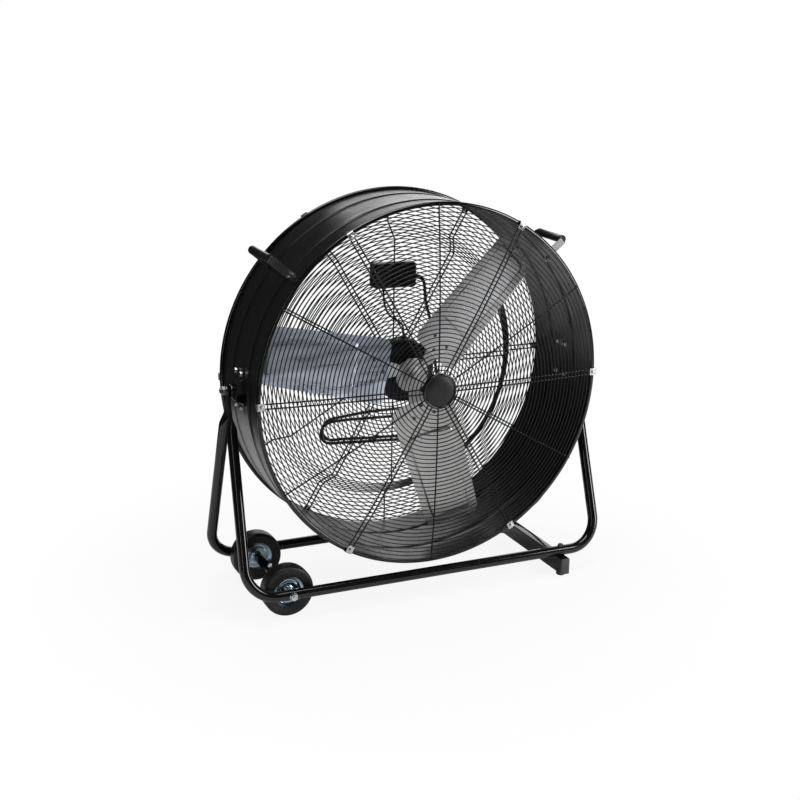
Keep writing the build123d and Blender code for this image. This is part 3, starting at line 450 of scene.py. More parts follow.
def add_hex(shape, place, flats, height, shank=0.0, proud=0.0):
    """A hexagon head or nut with its washer face, and a shank that stands proud of it."""
    add_prism(shape, place, flats * 0.62, 1.0, 28)
    add_prism(shape, place @ Matrix.Translation((0, 0, MM)), flats / 2 / cos(pi / 6), height - 1.0, 6, edge=0.7)
    if shank:
        add_prism(shape, place @ Matrix.Translation((0, 0, height * MM * 0.9)), shank, proud, 20, edge=0.6)


def add_through_bolt(shape, angle, y, head_seat):
    """A bolt through the drum's sheet: its head outside on a radius, its nut inside."""
    add_hex(shape, on_drum(angle, y, head_seat), BOLT_FLATS, 5.3)
    add_hex(shape, on_drum(angle, y, NUT_SEAT) @ Matrix.Rotation(pi, 4, "X"), BOLT_FLATS, 5.0, 4, 3)


print("bench ready")

# %% [markdown]
# The supply cord comes first, because it decides how much room the model needs.  It leaves the control box
# at its side, drops behind the right half of the rear guard, and ends in a flat hank with its plug.  The
# points are the same as in the CAD, and a smooth spline runs through their bends.

# %% Supply cord
HANK_NEAR, HANK_FAR = 117.0, 127.0
PLUG_END, PLUG_Y, PLUG_Z = 106.0, 129.0, -181.0
BOX_MIDDLE = 133.0
GLAND_END = (74.0, BOX_MIDDLE, 228.0)

drop = [GLAND_END, (88, 133, 228), (99, 130, 212), (99, 126, 186), (100, 121, 158), (109, 118, 124), (119, 117, 88),
        (126, 117, 48), (127, 117, 10), (134, 117, -38), (146, 117, -84), (156, 117, -128), (156, 117, -165)]
near_turn = [(156, 117, -204), (138, 117, -222), (92, 117, -226), (0, 117, -215), (-92, 117, -211),
             (-140, 117, -207), (-185.43, 117, -206), (-203, 117, -188.43), (-203, 117, -163.57),
             (-185.43, 117, -146), (-140, 117, -144), (-64, 117, -147), (31, 117, -150), (90, 117, -145),
             (126.25, 117, -148), (145, 117, -166.75), (145, 117, -193.25), (126.25, 117, -212)]
far_turn = [(80, 117.5, -213), (0, 122, -207), (-80, 126, -205), (-135, 126.5, -200), (-177.43, 127, -201),
            (-195, 127, -183.43), (-195, 127, -158.57), (-177.43, 127, -141), (-135, 127, -138), (-64, 127, -131),
            (31, 127, -133), (90, 127.5, -129), (128.18, 129, -127), (144, 129, -142.82), (144, 129, -165.18),
            (128.18, 129, -181), (PLUG_END, PLUG_Y, PLUG_Z)]


def lay_cord(name, route, radius, finish, nodes, body="drum"):
    """A round cord whose line is a smooth spline with the route's points as its control points."""
    curve = bpy.data.curves.new(name, "CURVE")
    curve.dimensions = "3D"
    curve.bevel_depth = radius * MM
    curve.bevel_resolution = 5
    curve.resolution_u = 10
    line = curve.splines.new("NURBS")
    line.points.add(len(route) - 1)
    for point, place in zip(line.points, route):
        point.co = (*from_drum(*place), 1.0)
    line.order_u = 3
    line.use_endpoint_u = True
    curve.materials.append(finish)
    cord = bpy.data.objects.new(name, curve)
    bpy.context.scene.collection.objects.link(cord)
    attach(cord, body)
    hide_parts(*nodes)
    return cord


def centre_line(cord):
    """Points along a cord, read from its spline."""
    bare = cord.copy()
    bare.data = cord.data.copy()
    bare.data.bevel_depth = 0.0
    bpy.context.scene.collection.objects.link(bare)
    bpy.context.view_layer.update()
    mesh = bpy.data.meshes.new_from_object(bare.evaluated_get(bpy.context.evaluated_depsgraph_get()))
    line = [v.co.copy() for v in mesh.vertices]
    bpy.data.objects.remove(bare)
    bpy.data.meshes.remove(mesh)
    return line


supply_cord = lay_cord("supply_cord", drop + near_turn + far_turn, 4.0, cord_rubber, ["power_cord", "cord_hank"])
supply_line = centre_line(supply_cord)
print("supply cord:", round(sum((b - a).length for a, b in zip(supply_line, supply_line[1:])), 3), "m")

# %% [markdown]
# The motor's own lead is short and held at both ends: from the underside of the control box, between two
# rings of the rear guard, to the top of the motor.

# %% Motor lead
LEAD_ANGLE = radians(7.5 * 360 / 32)
LEAD_WAY = Vector((cos(LEAD_ANGLE), 0, sin(LEAD_ANGLE)))
MOTOR_FLAT = 82.0 * cos(pi / 32)
lead_route = [(-20, 130, 199), (-20, 130, 169), (-13, 127, 143), (-11, 108, 132.5), (0, 87, 125),
              (11.33, 64, 115.05), (8.587, 64, 87.183)]
motor_lead = lay_cord("motor_supply_lead", lead_route, 2.5, cord_rubber, ["motor_lead"])
lead_line = centre_line(motor_lead)
print("motor lead:", round(sum((b - a).length for a, b in zip(lead_line, lead_line[1:])), 3), "m")

# %% [markdown]
# The plug is moulded onto the cord: a ribbed sleeve that bends with it, a round body to pull on, and two
# round pins.  The body is turned about the cord's last run, which lies along X.

# %% Plug


def turned_on(shape, outline, place, steps):
    """Spins (radius, height) points round local Z of a place."""
    corners = [shape.verts.new((r * MM, 0, h * MM)) for r, h in outline]
    lines = [shape.edges.new(pair) for pair in zip(corners, corners[1:])]
    first = len(shape.verts)
    bmesh.ops.spin(shape, geom=corners + lines, cent=(0, 0, 0), axis=(0, 0, 1), angle=2 * pi, steps=steps,
                   use_merge=True)
    shape.verts.ensure_lookup_table()
    fresh = corners + [shape.verts[i] for i in range(first, len(shape.verts))]
    bmesh.ops.transform(shape, matrix=place, verts=fresh)


plug_place = axes_at(from_drum(PLUG_END, PLUG_Y, PLUG_Z), Y_WAY, -Z_WAY, -X_WAY)
plug = bmesh.new()
sleeve = [(0, 0), (5.2, 0)]
for rib in range(4):
    sleeve += [(r + rib * 0.4, h + rib * 2.8) for r, h in ((5.6, 1.5), (6.4, 2.4), (5.8, 3.4))]
body_line = [(11.5, 12.2), (14.6, 15), (15.6, 20), (14.4, 24), (14.2, 30), (15.4, 36), (16.4, 41), (16.4, 46.6),
             (15.6, 48), (0, 48)]
turned_on(plug, sleeve + body_line, plug_place, 40)
power_plug = deliver("plug_body", plug, "drum", cord_rubber, ["power_plug"])
pins = bmesh.new()
for side in (-1, 1):
    turned_on(pins, [(0, 0), (2.4, 0), (2.4, 17.4), (1.6, 18.8), (0, 19)],
              plug_place @ Matrix.Translation((side * 9.5 * MM, 0, 48 * MM)), 20)
plug_pins = deliver("plug_pins", pins, "drum", bright_zinc)

# %% [markdown]
# Where the cord leaves the box, a screwed gland holds it and a tapered sleeve keeps it from kinking.  The
# sleeve follows the cord's own line, so it bends as the rubber one does.

# %% Glands and sleeve
glands = bmesh.new()
gland_outline = [(0, 6), (5.2, 6), (6.6, 5.2), (7.0, 3.4), (8.0, 3.0), (8.0, 0), (0, 0)]
turned_on(glands, gland_outline, axes_at(from_drum(68, BOX_MIDDLE, 228), Y_WAY, Z_WAY,
                                         X_WAY), 24)
small_gland = [(r * 0.75, h) for r, h in gland_outline]
turned_on(glands, small_gland, axes_at(from_drum(-20, 130, 205), X_WAY, -Y_WAY,
                                       -Z_WAY), 24)
motor_seat = Vector((0, 64, 0)) + LEAD_WAY * MOTOR_FLAT
turned_on(glands, small_gland, axes_at(from_drum(*motor_seat), Y_WAY, LEAD_WAY.cross(Y_WAY),
                                       LEAD_WAY), 24)
deliver("cord_entries", glands, "drum", moulded_black, ["cord_glands"])

sleeve_line = [supply_line[0]]
for here in supply_line[1:]:
    sleeve_line.append(here)
    if (here - supply_line[0]).length > 0.026:
        break
relief = bmesh.new()
rings = []
for i, point in enumerate(sleeve_line):
    half = 6.4 - 1.9 * i / (len(sleeve_line) - 1) + (0.35 if i % 2 else 0)
    rings.append(station(point, heading(sleeve_line, i), Y_WAY, half, half))
draw_tube(relief, rings, 16)
cord_sleeve = deliver("cord_sleeve", relief, "drum", cord_rubber)

# %% [markdown]
# Two thin ties hold the hank together.  Each is a strap once round both layers.

# %% Cord ties
ties = bmesh.new()
for top, bottom in ((-125.0, -153.5), (-204.5, -229.0)):
    loop = [from_drum(60, y, z) for y, z in ((HANK_NEAR - 5.2, top), (HANK_FAR + 5.2, top),
                                             (HANK_FAR + 5.2, bottom), (HANK_NEAR - 5.2, bottom))]
    bend_strip(ties, loop + loop[:1], Vector((0.002, 0, 0)), 1.0)
deliver("cord_ties", ties, "drum", moulded_black, bevel=0.3)

# %% [markdown]
# The stand is two bent tubes.  Each is one long pull: from the flattened lug at one pivot, through the neck
# where the round tube was squeezed in a press, down the leg, round two bends, and up to the other lug.

# %% Stand tubes
LEG_SPREAD, WHEEL_RADIUS, TUBE_RADIUS = 161.0, 66.5, 13.5
LUG_PLANE, HALF_WIDTH, TUBE_BEND = 492.0, 503.0, 80.0
LUG_HALF, LUG_THICK = 19.0, 5.0
leg_rise = TILT_HEIGHT - WHEEL_RADIUS
leg_length = sqrt(LEG_SPREAD ** 2 + leg_rise ** 2)
lug_start = LUG_HALF * leg_length / LEG_SPREAD
taper_start = lug_start + 42.0


def stand_tube(name, lean, lug_side, node):
    """One tube of the stand; lean is -1 for the front one."""
    down = Vector((0, lean * LEG_SPREAD, -leg_rise)) / leg_length
    normal = Vector((0, -leg_rise, -lean * LEG_SPREAD)) / leg_length
    lug_middle = LUG_PLANE + lug_side * LUG_THICK / 2
    top_x = LUG_PLANE + (HALF_WIDTH - LUG_PLANE) * taper_start / leg_length

    def leg(x, depth):
        return mm(x, 0, TILT_HEIGHT) + down * depth * MM

    rings = []
    ends = {}
    for side in (-1, 1):
        lug = []
        for i in range(9):
            beyond = LUG_HALF * cos(radians(8 + i * 82 / 8))
            half = max(sqrt(LUG_HALF ** 2 - beyond ** 2), 1.5)
            lug.append((side * lug_middle, -beyond, LUG_THICK / 2, half))
        lug.append((side * lug_middle, lug_start - 8, LUG_THICK / 2, LUG_HALF))
        for i in range(9):
            t = i / 8
            s = t * t * (3 - 2 * t)
            lug.append((side * (lug_middle + (top_x - lug_middle) * s), lug_start + (taper_start - lug_start) * t,
                        LUG_THICK / 2 + (TUBE_RADIUS - LUG_THICK / 2) * s, LUG_HALF + (TUBE_RADIUS - LUG_HALF) * s))
        ends[side] = lug
    for x, depth, thin, wide in ends[-1]:
        rings.append(station(leg(x, depth), down, X_WAY, thin, wide))
    corners = [leg(-top_x, taper_start), leg(-HALF_WIDTH, leg_length), leg(HALF_WIDTH, leg_length),
               leg(top_x, taper_start)]
    bends = round_corners(corners, TUBE_BEND * MM, steps=14)
    for i in range(1, len(bends) - 1):
        ahead = heading(bends, i)
        if i == 1:                               # the bend begins square to the leg
            ahead = bends[1] - bends[0]
        elif i == len(bends) - 2:
            ahead = bends[-1] - bends[-2]
        rings.append(station(bends[i], ahead, normal.cross(ahead), TUBE_RADIUS, TUBE_RADIUS))
    for x, depth, thin, wide in reversed(ends[1]):
        rings.append(station(leg(x, depth), -down, -X_WAY, thin, wide))
    tube = bmesh.new()
    draw_tube(tube, rings, 36)
    return deliver(name, tube, "stand", tube_paint, [node])


stand_tube("stand_tube_front", -1, 1, "front_frame_tube")
stand_tube("stand_tube_rear", 1, -1, "rear_frame_tube")

# %% [markdown]
# At the other end from the wheels a square bar joins the two tubes from below.  It has a plastic plug in
# each open end, a coach bolt through each tube, and a rubber foot under each end.

# %% Crossbar
BAR_X, BAR_TOP, BAR_HALF = 389.0, 53.0, 190.0
BAR_WIDE, BAR_HIGH, PLUG_EASE, FOOT_Y = 25.0, 45.0, 0.4, 168.0
bar = bmesh.new()
bar_size = (BAR_WIDE, 2 * BAR_HALF - 0.4, BAR_HIGH)
cut_block(bar, Matrix.Translation(mm(BAR_X, 0, BAR_TOP - BAR_HIGH / 2)), bar_size, 2.6)
deliver("crossbar_beam", bar, "stand", tube_paint, ["crossbar"])
end_plugs = bmesh.new()
for side in (-1, 1):
    plug_middle = mm(BAR_X, side * (BAR_HALF + 1.2), BAR_TOP - BAR_HIGH / 2)
    plug_size = (BAR_WIDE - PLUG_EASE, 2.6, BAR_HIGH - PLUG_EASE)
    cut_block(end_plugs, Matrix.Translation(plug_middle), plug_size, 1.1)
deliver("end_plugs", end_plugs, "stand", plug_grey, ["crossbar_caps"])
feet = bmesh.new()
for side in (-1, 1):
    turned_on(feet, [(0, 0), (10.8, 0), (12.2, 1.4), (12.5, 6.4), (11.6, 8.0), (0, 8.0)],
              Matrix.Translation(mm(BAR_X, side * FOOT_Y, 0)), 32)
deliver("round_feet", feet, "stand", tyre_rubber, ["rubber_feet"])
coach = bmesh.new()
for side in (-1, 1):
    add_hex(coach, Matrix.Translation(mm(BAR_X, side * LEG_SPREAD, WHEEL_RADIUS + TUBE_RADIUS)), 13, 5.3, 4, 2)
deliver("coach_nuts", coach, "stand", dull_zinc, ["frame_bolts"])

# %% [markdown]
# The wheels are solid rubber on a pressed disc.  The tyre's outline has round shoulders and a shallow step
# where it grips the disc; the disc has two pressed rings and a barrel that runs on the axle.

# %% Wheels
WHEEL_X, WHEEL_MIDDLE = -386.5, 122.5
tyre_side = [(39.0, 17.5), (41.0, 18.6), (47.0, 19.0), (52.0, 20.6), (57.0, 21.8), (60.0, 22.0), (62.6, 21.0),
             (64.8, 18.6), (66.0, 15.6), (66.5, 12.0), (66.5, 4.0)]
disc_side = [(5.3, 21.8), (11.4, 21.8), (12.0, 21.2), (12.0, 15.0), (14.5, 12.6), (19.0, 12.0), (22.0, 13.6),
             (25.0, 13.8), (27.5, 12.2), (31.0, 11.6), (34.0, 12.8), (36.5, 15.6), (39.2, 17.8), (39.6, 16.6)]
for name, middle, body in (("front", -WHEEL_MIDDLE, "wheel_front"), ("rear", WHEEL_MIDDLE, "wheel_rear")):
    hub_middle = Vector((WHEEL_X, middle, WHEEL_RADIUS))
    tyre = turned(tyre_side + [(r, -y) for r, y in reversed(tyre_side)], hub_middle, 96)
    deliver(f"rubber_tyre_{name}", tyre, body, tyre_rubber, [f"tyre_{name}"], crease=50)
    disc = turned(disc_side + [(r, -y) for r, y in reversed(disc_side)], hub_middle, 96)
    deliver(f"pressed_disc_{name}", disc, body, blue_zinc, [f"wheel_hub_{name}"], crease=50)

# %% [markdown]
# A plain rod is the axle.  Between the wheels a painted tube with two small bolts keeps them apart, and a
# nut on each end holds everything against the stand.

# %% Axle


def lying(x, y, z, way):
    """A place whose local Z lies along the fan's Y, towards the front (way -1) or the rear (way 1)."""
    return axes_at(mm(x, y, z), X_WAY, Vector((0, 0, -way)), Vector((0, way, 0)))


spacer = turned([(5.4, -99.4), (11.2, -99.4), (12.0, -98.6), (12.0, 98.6), (11.2, 99.4), (5.4, 99.4)],
                Vector((WHEEL_X, 0, WHEEL_RADIUS)), 40)
deliver("spacer_tube", spacer, "stand", tube_paint, ["axle_spacer"])
SPACER_BOLTS = (-30, 4)
spacer_bolts = bmesh.new()
for y in SPACER_BOLTS:
    add_hex(spacer_bolts, Matrix.Translation(mm(WHEEL_X, y, WHEEL_RADIUS + 11.6)), 9, 6.5)
deliver("spacer_bolts", spacer_bolts, "stand", bright_zinc)
nuts = bmesh.new()
for way in (-1, 1):
    add_hex(nuts, lying(WHEEL_X, way * (LEG_SPREAD + TUBE_RADIUS), WHEEL_RADIUS, way), 17, 8.0)
deliver("axle_lock_nuts", nuts, "stand", bright_zinc, ["axle_nuts"])
rod = turned([(0, -187), (4.2, -187), (5.0, -186.2), (5.0, 186.2), (4.2, 187), (0, 187)],
             Vector((WHEEL_X, 0, WHEEL_RADIUS)), 32, closed=False)
deliver("axle_rod", rod, "stand", bright_zinc, ["wheel_axle"])
washers = bmesh.new()
for way in (-1, 1):
    turn(washers, [(5.3, 0), (10, 0), (10, 2), (5.3, 2)],
         Vector((WHEEL_X, -146.5 if way < 0 else 144.5, WHEEL_RADIUS)), 32)
deliver("axle_shims", washers, "stand", bright_zinc, ["axle_washers"])

# %% [markdown]
# The drum is one long sheet rolled into a hoop.  Two raised beads keep it from drumming, and its outline runs
# along the outside and back along the inside.  Its edges are rolled over into round hems, a shape of their own.

# %% Drum sheet
WALL, SHEET, HALF_DEPTH, HEM = 462.0, 1.5, 151.5, 11.0


def wall_rise(y):
    """How far the sheet stands out at y: nothing, or the round top of a bead."""
    reach = min(abs(abs(y) - 58.0) / 9.0, 1.0)
    return 2.6 * 0.5 * (1 + cos(pi * reach))


wall_line = [-(HALF_DEPTH - 1.0), -110, -80] + [-67 + i * 1.8 for i in range(11)] + [-30, 0]
wall_line = [float(y) for y in wall_line]
wall_line = wall_line + [-y for y in reversed(wall_line[:-1])]
outside = [(WALL + wall_rise(y), y) for y in wall_line]
inside = [(WALL - SHEET + wall_rise(y), y) for y in reversed(wall_line)]


def hem_line(end):
    """The round part of the rolled hem at one end (-1 front, 1 rear), as (radius, y) points."""
    middle = end * (HALF_DEPTH - HEM / 2)
    turns = [radians(-90 + i * 15) for i in range(1, 12)]
    return [(WALL + 8.0 * cos(t), middle + end * HEM / 2 * sin(t)) for t in turns]


drum = turned(outside + inside, DRUM_MIDDLE, 240)
deliver("drum_sheet", drum, "drum", drum_paint, ["drum_shell"], crease=50)
hems = bmesh.new()
for end in (-1, 1):
    turn(hems, hem_line(end) + [(WALL - 0.3, end * HALF_DEPTH), (WALL - SHEET - 0.3, end * (HALF_DEPTH - 0.8)),
                                (WALL - SHEET - 0.3, end * (HALF_DEPTH - HEM + 2))], DRUM_MIDDLE, 240)
deliver("rolled_hems", hems, "drum", tube_paint, crease=50)

# %% [markdown]
# A guard is a spiral-looking grid, but each ring is closed.  All the rings of one guard are spun together
# from small circles of wire, which is one operation however many rings there are.

# %% Guard rings
WIRE, SPOKE, GAP = 1.5, 2.0, 10.6
FRONT_SEAT = HALF_DEPTH + SPOKE


def front_height(radius):
    """The front guard bulges gently towards its middle."""
    return -FRONT_SEAT - 20.0 * (1 - min(radius / 448.0, 1.0) ** 3)


STEP_IN, STEP_OUT, STEP_DEEP = 337.0, 377.0, 46.0


def rear_height(radius):
    """The rear guard slopes inwards between two radii."""
    t = min(max((radius - STEP_IN) / (STEP_OUT - STEP_IN), 0.0), 1.0)
    return FRONT_SEAT - STEP_DEEP * (1 - t)


def guard_rings(name, radii, height, outwards, node):
    """All rings of a guard, resting on the outside of its spokes."""
    shape = bmesh.new()
    for radius in radii:
        centre = mm(radius, height(radius) + outwards * (SPOKE + WIRE - 0.3), 0)
        bmesh.ops.create_circle(shape, cap_ends=False, segments=6, radius=WIRE * MM,
                                matrix=Matrix.Translation(centre))
    everything = list(shape.verts) + list(shape.edges)
    bmesh.ops.spin(shape, geom=everything, cent=(0, 0, 0), axis=(0, 1, 0), angle=2 * pi, steps=120, use_merge=True)
    bmesh.ops.translate(shape, verts=shape.verts, vec=DRUM_MIDDLE * MM)
    return deliver(name, shape, "drum", wire_coat, [node], crease=80)


front_radii = [456.0 - GAP * i for i in range(39)]
guard_rings("front_rings", front_radii, front_height, -1, "front_guard")
inner_gap = (STEP_IN - 150.0) / 18
rear_radii = [460.0 - GAP * i for i in range(8)] + [STEP_OUT - (STEP_OUT - STEP_IN) / 6 * i for i in range(6)]
rear_radii += [STEP_IN - inner_gap * i for i in range(26)]
guard_rings("rear_rings", rear_radii, rear_height, 1, "rear_guard")

# %% [markdown]
# Under the rings lie the spokes.  Twelve of them run in six close pairs to the clips, and six single ones
# stand between.  They are drawn as wires along the same height as the rings.

# %% Guard spokes
SPOKE_PAIR = 12.0
spoke_places = [(a, 0.0) for a in range(30, 360, 60)]
spoke_places += [(a, side * SPOKE_PAIR / 2) for a in range(0, 360, 60) for side in (-1, 1)]


def guard_spokes(name, radii, height):
    """The spokes of a guard, each a wire from the middle to the rim."""
    shape = bmesh.new()
    for angle, offset in spoke_places:
        out, across = spoke_ways(angle)
        line = [from_drum(*(out * r + across * offset + Vector((0, height(r), 0)))) for r in radii]
        draw_tube(shape, stations_along(line, across, SPOKE), 8)
    return deliver(name, shape, "drum", wire_coat, crease=60)


guard_spokes("front_spokes", [33, 90, 150, 210, 270, 320, 360, 395, 425, 448, 466], front_height)
guard_spokes("rear_spokes", [54, 180, 300, 334.5, STEP_IN, 339.5, 374.5, STEP_OUT, 379.5, 430, 466], rear_height)

# %% [markdown]
# A round badge covers the place where the spokes meet.  It is a plain moulded disc in a glossy bezel, and
# nothing is written on it.

# %% Badge
badge_back = front_height(0) - SPOKE
badge = turned([(0, badge_back), (39.4, badge_back), (39.4, badge_back - 7.4), (38.4, badge_back - 8.0),
                (20.0, badge_back - 8.7), (0, badge_back - 9.0)], DRUM_MIDDLE, 96, closed=False)
deliver("centre_badge", badge, "drum", moulded_black, ["badge"], crease=30)
bezel = turned([(39.6, badge_back), (45.0, badge_back), (46.2, badge_back - 1.0), (46.2, badge_back - 6.4),
                (45.4, badge_back - 8.4), (43.6, badge_back - 9.6), (41.8, badge_back - 9.6),
                (40.2, badge_back - 8.6), (39.6, badge_back - 7.0)], DRUM_MIDDLE, 96)
deliver("badge_bezel", bezel, "drum", tube_paint, crease=50)

# %% [markdown]
# Six bright clips hold each guard to the rim.  A clip is a strip bent once over the hem, with a round
# screw through its face.

# %% Rim clips
clip_height = FRONT_SEAT + SPOKE + 1.5 + 0.1 + 1.0
for name, end in (("front", -1), ("rear", 1)):
    clips = bmesh.new()
    for angle in range(0, 360, 60):
        out, across = spoke_ways(angle)

        def clip_point(radius, y):
            return from_drum(*(out * radius + Vector((0, end * y, 0))))

        bend = round_corners([clip_point(451.5, clip_height), clip_point(471.2, clip_height),
                              clip_point(471.2, HALF_DEPTH - 9)], 3.5 * MM, steps=5)
        bend_strip(clips, bend, across * 9 * MM, 2.0)
    deliver(f"rim_clips_{name}", clips, "drum", bright_zinc, [f"{name}_clips"], bevel=0.5)


def facing(angle, end, radius, y):
    """A place on the front (end -1) or rear (end 1) of the drum whose local Z points away from it."""
    out, way = spoke_ways(angle)[0], Y_WAY * end
    return axes_at(from_drum(*(out * radius + way * y)), out, way.cross(out), way)


screws = bmesh.new()
for angle in range(0, 360, 60):
    for end in (-1, 1):
        turned_on(screws, [(0, 3.2), (1.6, 3.1), (3.4, 2.4), (4.5, 0.6), (4.5, 0), (0, 0)],
                  facing(angle, end, 460.5, clip_height + 1.0), 20)
deliver("clip_screw_heads", screws, "drum", bright_zinc, ["clip_screws"])

# %% [markdown]
# Each pivot bracket is a bent plate bolted to the drum by four bolts.  Its raised middle carries the bolt on
# which the drum tilts; the flattened tube ends, washers and a large nut sit outside it.

# %% Pivot brackets
for name, side in (("left", -1), ("right", 1)):
    plate = bmesh.new()
    points = []
    for z, x in ((-58, 459.7), (-31, 462.3), (-24, 481.5), (24, 481.5), (31, 461.8), (58, 458.9)):
        points.append(mm(side * x, 0, TILT_HEIGHT + z))
    bend_strip(plate, round_corners(points, 5 * MM, steps=4), Vector((0, 0.031, 0)), 3.0)
    deliver(f"pivot_plate_{name}", plate, "drum", drum_paint, [f"pivot_bracket_{name}"], bevel=0.8)

PLATE_TOP = 465.1
PLATE_ANGLE, BOLT_ANGLE = 0.496, 5.216       # degrees round the drum: the plate's middle, and each bolt from it
bolt_places = []
for base, way in ((0.0, 1), (180.0, -1)):
    for z in (-1, 1):
        for y in (-20, 20):
            bolt_places.append((base + way * (PLATE_ANGLE + z * BOLT_ANGLE), y + 6))
plate_bolts = bmesh.new()
for angle, y in bolt_places:
    add_through_bolt(plate_bolts, angle, y, PLATE_TOP)
deliver("plate_bolts", plate_bolts, "drum", bright_zinc, ["bracket_bolts"])
pivot = bmesh.new()
for side in (-1, 1):
    seat = axes_at(mm(side * 499, 0, TILT_HEIGHT), Vector((0, side, 0)), Z_WAY, Vector((side, 0, 0)))
    add_hex(pivot, seat, 19, 10.0)
deliver("pivot_lock_nuts", pivot, "stand", dull_zinc, ["pivot_nuts"])

# %% [markdown]
# The two carrying handles are flat strips with their feet bent outwards, and a round plastic grip on the
# middle run.

# %% Carrying handles
FOOT_RADIUS, GRIP_RADIUS = 463.5, 530.0      # from the drum's axis to the strap's feet and to its middle run
RUN_HALF, BOLT_Y, STRAP_END = 68.0, 80.0, 92.0
STRAP_TOP = FOOT_RADIUS + 1.5
for name, angle in (("left", 140.0), ("right", 40.0)):
    out, across = spoke_ways(angle)

    def handle_point(radius, y):
        return from_drum(*(out * radius + Vector((0, y, 0))))

    strap = bmesh.new()
    half_run = [(FOOT_RADIUS, STRAP_END), (FOOT_RADIUS, RUN_HALF), (GRIP_RADIUS, RUN_HALF)]
    run = [handle_point(r, -y) for r, y in half_run] + [handle_point(r, y) for r, y in reversed(half_run)]
    bend_strip(strap, round_corners(run, 5 * MM, steps=5), across * 10 * MM, 3.0)
    deliver(f"handle_strap_{name}", strap, "drum", strap_steel, [f"handle_bracket_{name}"], bevel=0.6)
    grip = bmesh.new()
    grip_line = [(0, -62), (9.4, -62), (10.8, -60.6), (11.0, -58)]
    grip_line += [(11.0, -52), (10.5, -50), (10.5, 50), (11.0, 52)]
    grip_line += [(11.0, 58), (10.8, 60.6), (9.4, 62), (0, 62)]
    turned_on(grip, grip_line, axes_at(handle_point(GRIP_RADIUS, 0), out, across, out.cross(across)), 36)
    deliver(f"hand_grip_{name}", grip, "drum", grip_black, [f"handle_grip_{name}"])

strap_bolts = bmesh.new()
for angle in (40.0, 140.0):
    for y in (-BOLT_Y, BOLT_Y):
        add_through_bolt(strap_bolts, angle, y, STRAP_TOP)
deliver("strap_bolts", strap_bolts, "drum", bright_zinc, ["handle_bolts"])

# %% [markdown]
# A blade starts as a flat grid.  Its points are moved into a paddle with round corners, bowed across, and
# lifted inside the pressed panel; then the sheet is given its thickness and turned to its place.

# %% Blades
ROOT, TIP, ROOT_HALF, TIP_HALF, CAMBER, PITCH = 74.0, 432.0, 86.0, 73.0, 10.0, 12.0
BLADE_Y = -24.0
PANEL_START, PANEL_END, PANEL_INSET, PANEL_RISE = 165.0, 412.0, 20.0, 3.2


def ease(t):
    """A smooth step from 0 to 1."""
    t = min(max(t, 0.0), 1.0)
    return t * t * (3 - 2 * t)


def half_width(u):
    """Half the blade's width at u, with round corners at both ends."""
    width = ROOT_HALF + (TIP_HALF - ROOT_HALF) * (u - ROOT) / (TIP - ROOT)
    for end, corner in ((u - ROOT, 26.0), (TIP - u, 24.0)):
        if end < corner:
            width -= corner - sqrt(max(corner ** 2 - (corner - end) ** 2, 0.0))
    return width


def panel_lift(u, v):
    """Height of the pressed panel: a rounded rectangle with sloping sides."""
    width = ROOT_HALF + (TIP_HALF - ROOT_HALF) * (u - ROOT) / (TIP - ROOT) - PANEL_INSET
    du = min(u - PANEL_START, PANEL_END - u)
    dv = width - abs(v)
    corner = 16.0
    if du < corner and dv < corner:
        inside = corner - sqrt((corner - du) ** 2 + (corner - dv) ** 2)
    else:
        inside = min(du, dv)
    return PANEL_RISE * ease(inside / 4.5)


def blade_place(angle):
    """Local X along the blade, local Z out of the front."""
    a, p = radians(angle), radians(PITCH)
    x_way = Vector((cos(a), 0, sin(a)))
    z_way = Vector((sin(a) * sin(p), -cos(p), -cos(a) * sin(p)))
    return axes_at(from_drum(0, BLADE_Y, 0), x_way, z_way.cross(x_way), z_way)


for number, angle in enumerate(BLADE_ANGLES, 1):
    paddle = bmesh.new()
    bmesh.ops.create_grid(paddle, x_segments=180, y_segments=84, size=1.0)
    for vert in paddle.verts:
        t = (vert.co.x + 1) / 2
        u = ROOT + (TIP - ROOT) * t
        v = vert.co.y * half_width(u)
        bow = CAMBER * ((v / ROOT_HALF) ** 2 - 0.5)
        vert.co = Vector((u, v, bow + panel_lift(u, v) - 1.0)) * MM
    bmesh.ops.solidify(paddle, geom=list(paddle.faces), thickness=-2.0 * MM)
    bmesh.ops.transform(paddle, matrix=blade_place(angle), verts=paddle.verts)
    deliver(f"pressed_blade_{number}", paddle, "rotor", blade_finishes[number - 1],
            [f"blade_{number}"], crease=50)

# %% [markdown]
# The blades are riveted to a three-armed spider.  Each arm widens behind its blade, and the round boss in the
# centre is clamped to the motor's shaft.

# %% Spider
spider = bmesh.new()
for angle in BLADE_ANGLES:
    arm = bmesh.ops.create_cube(spider, size=1.0)["verts"]
    for vert in arm:
        outer = vert.co.x > 0
        half = 36.0 if outer else 13.0
        vert.co = mm(128 if outer else 36, half * 2 * vert.co.y - (0 if outer else 10), -8.1 + 4.0 * vert.co.z)
    corners = [e for v in arm for e in v.link_edges if abs(e.verts[0].co.z - e.verts[1].co.z) > 0.003]
    bmesh.ops.transform(spider, matrix=blade_place(angle), verts=arm)
    round_edges(spider, corners, 9, 5)
turn(spider, [(8.0, -19), (22, -19), (24, -18), (25, -15.8), (43, -15.8), (45.5, -14.6), (45.5, -13.4), (37, -12.8),
              (37, -8), (35.6, -6.4), (16, -5), (8.0, -5)], DRUM_MIDDLE, 72)
deliver("blade_spider", spider, "rotor", hub_sheet, ["fan_hub"], bevel=0.4)
rivets = bmesh.new()
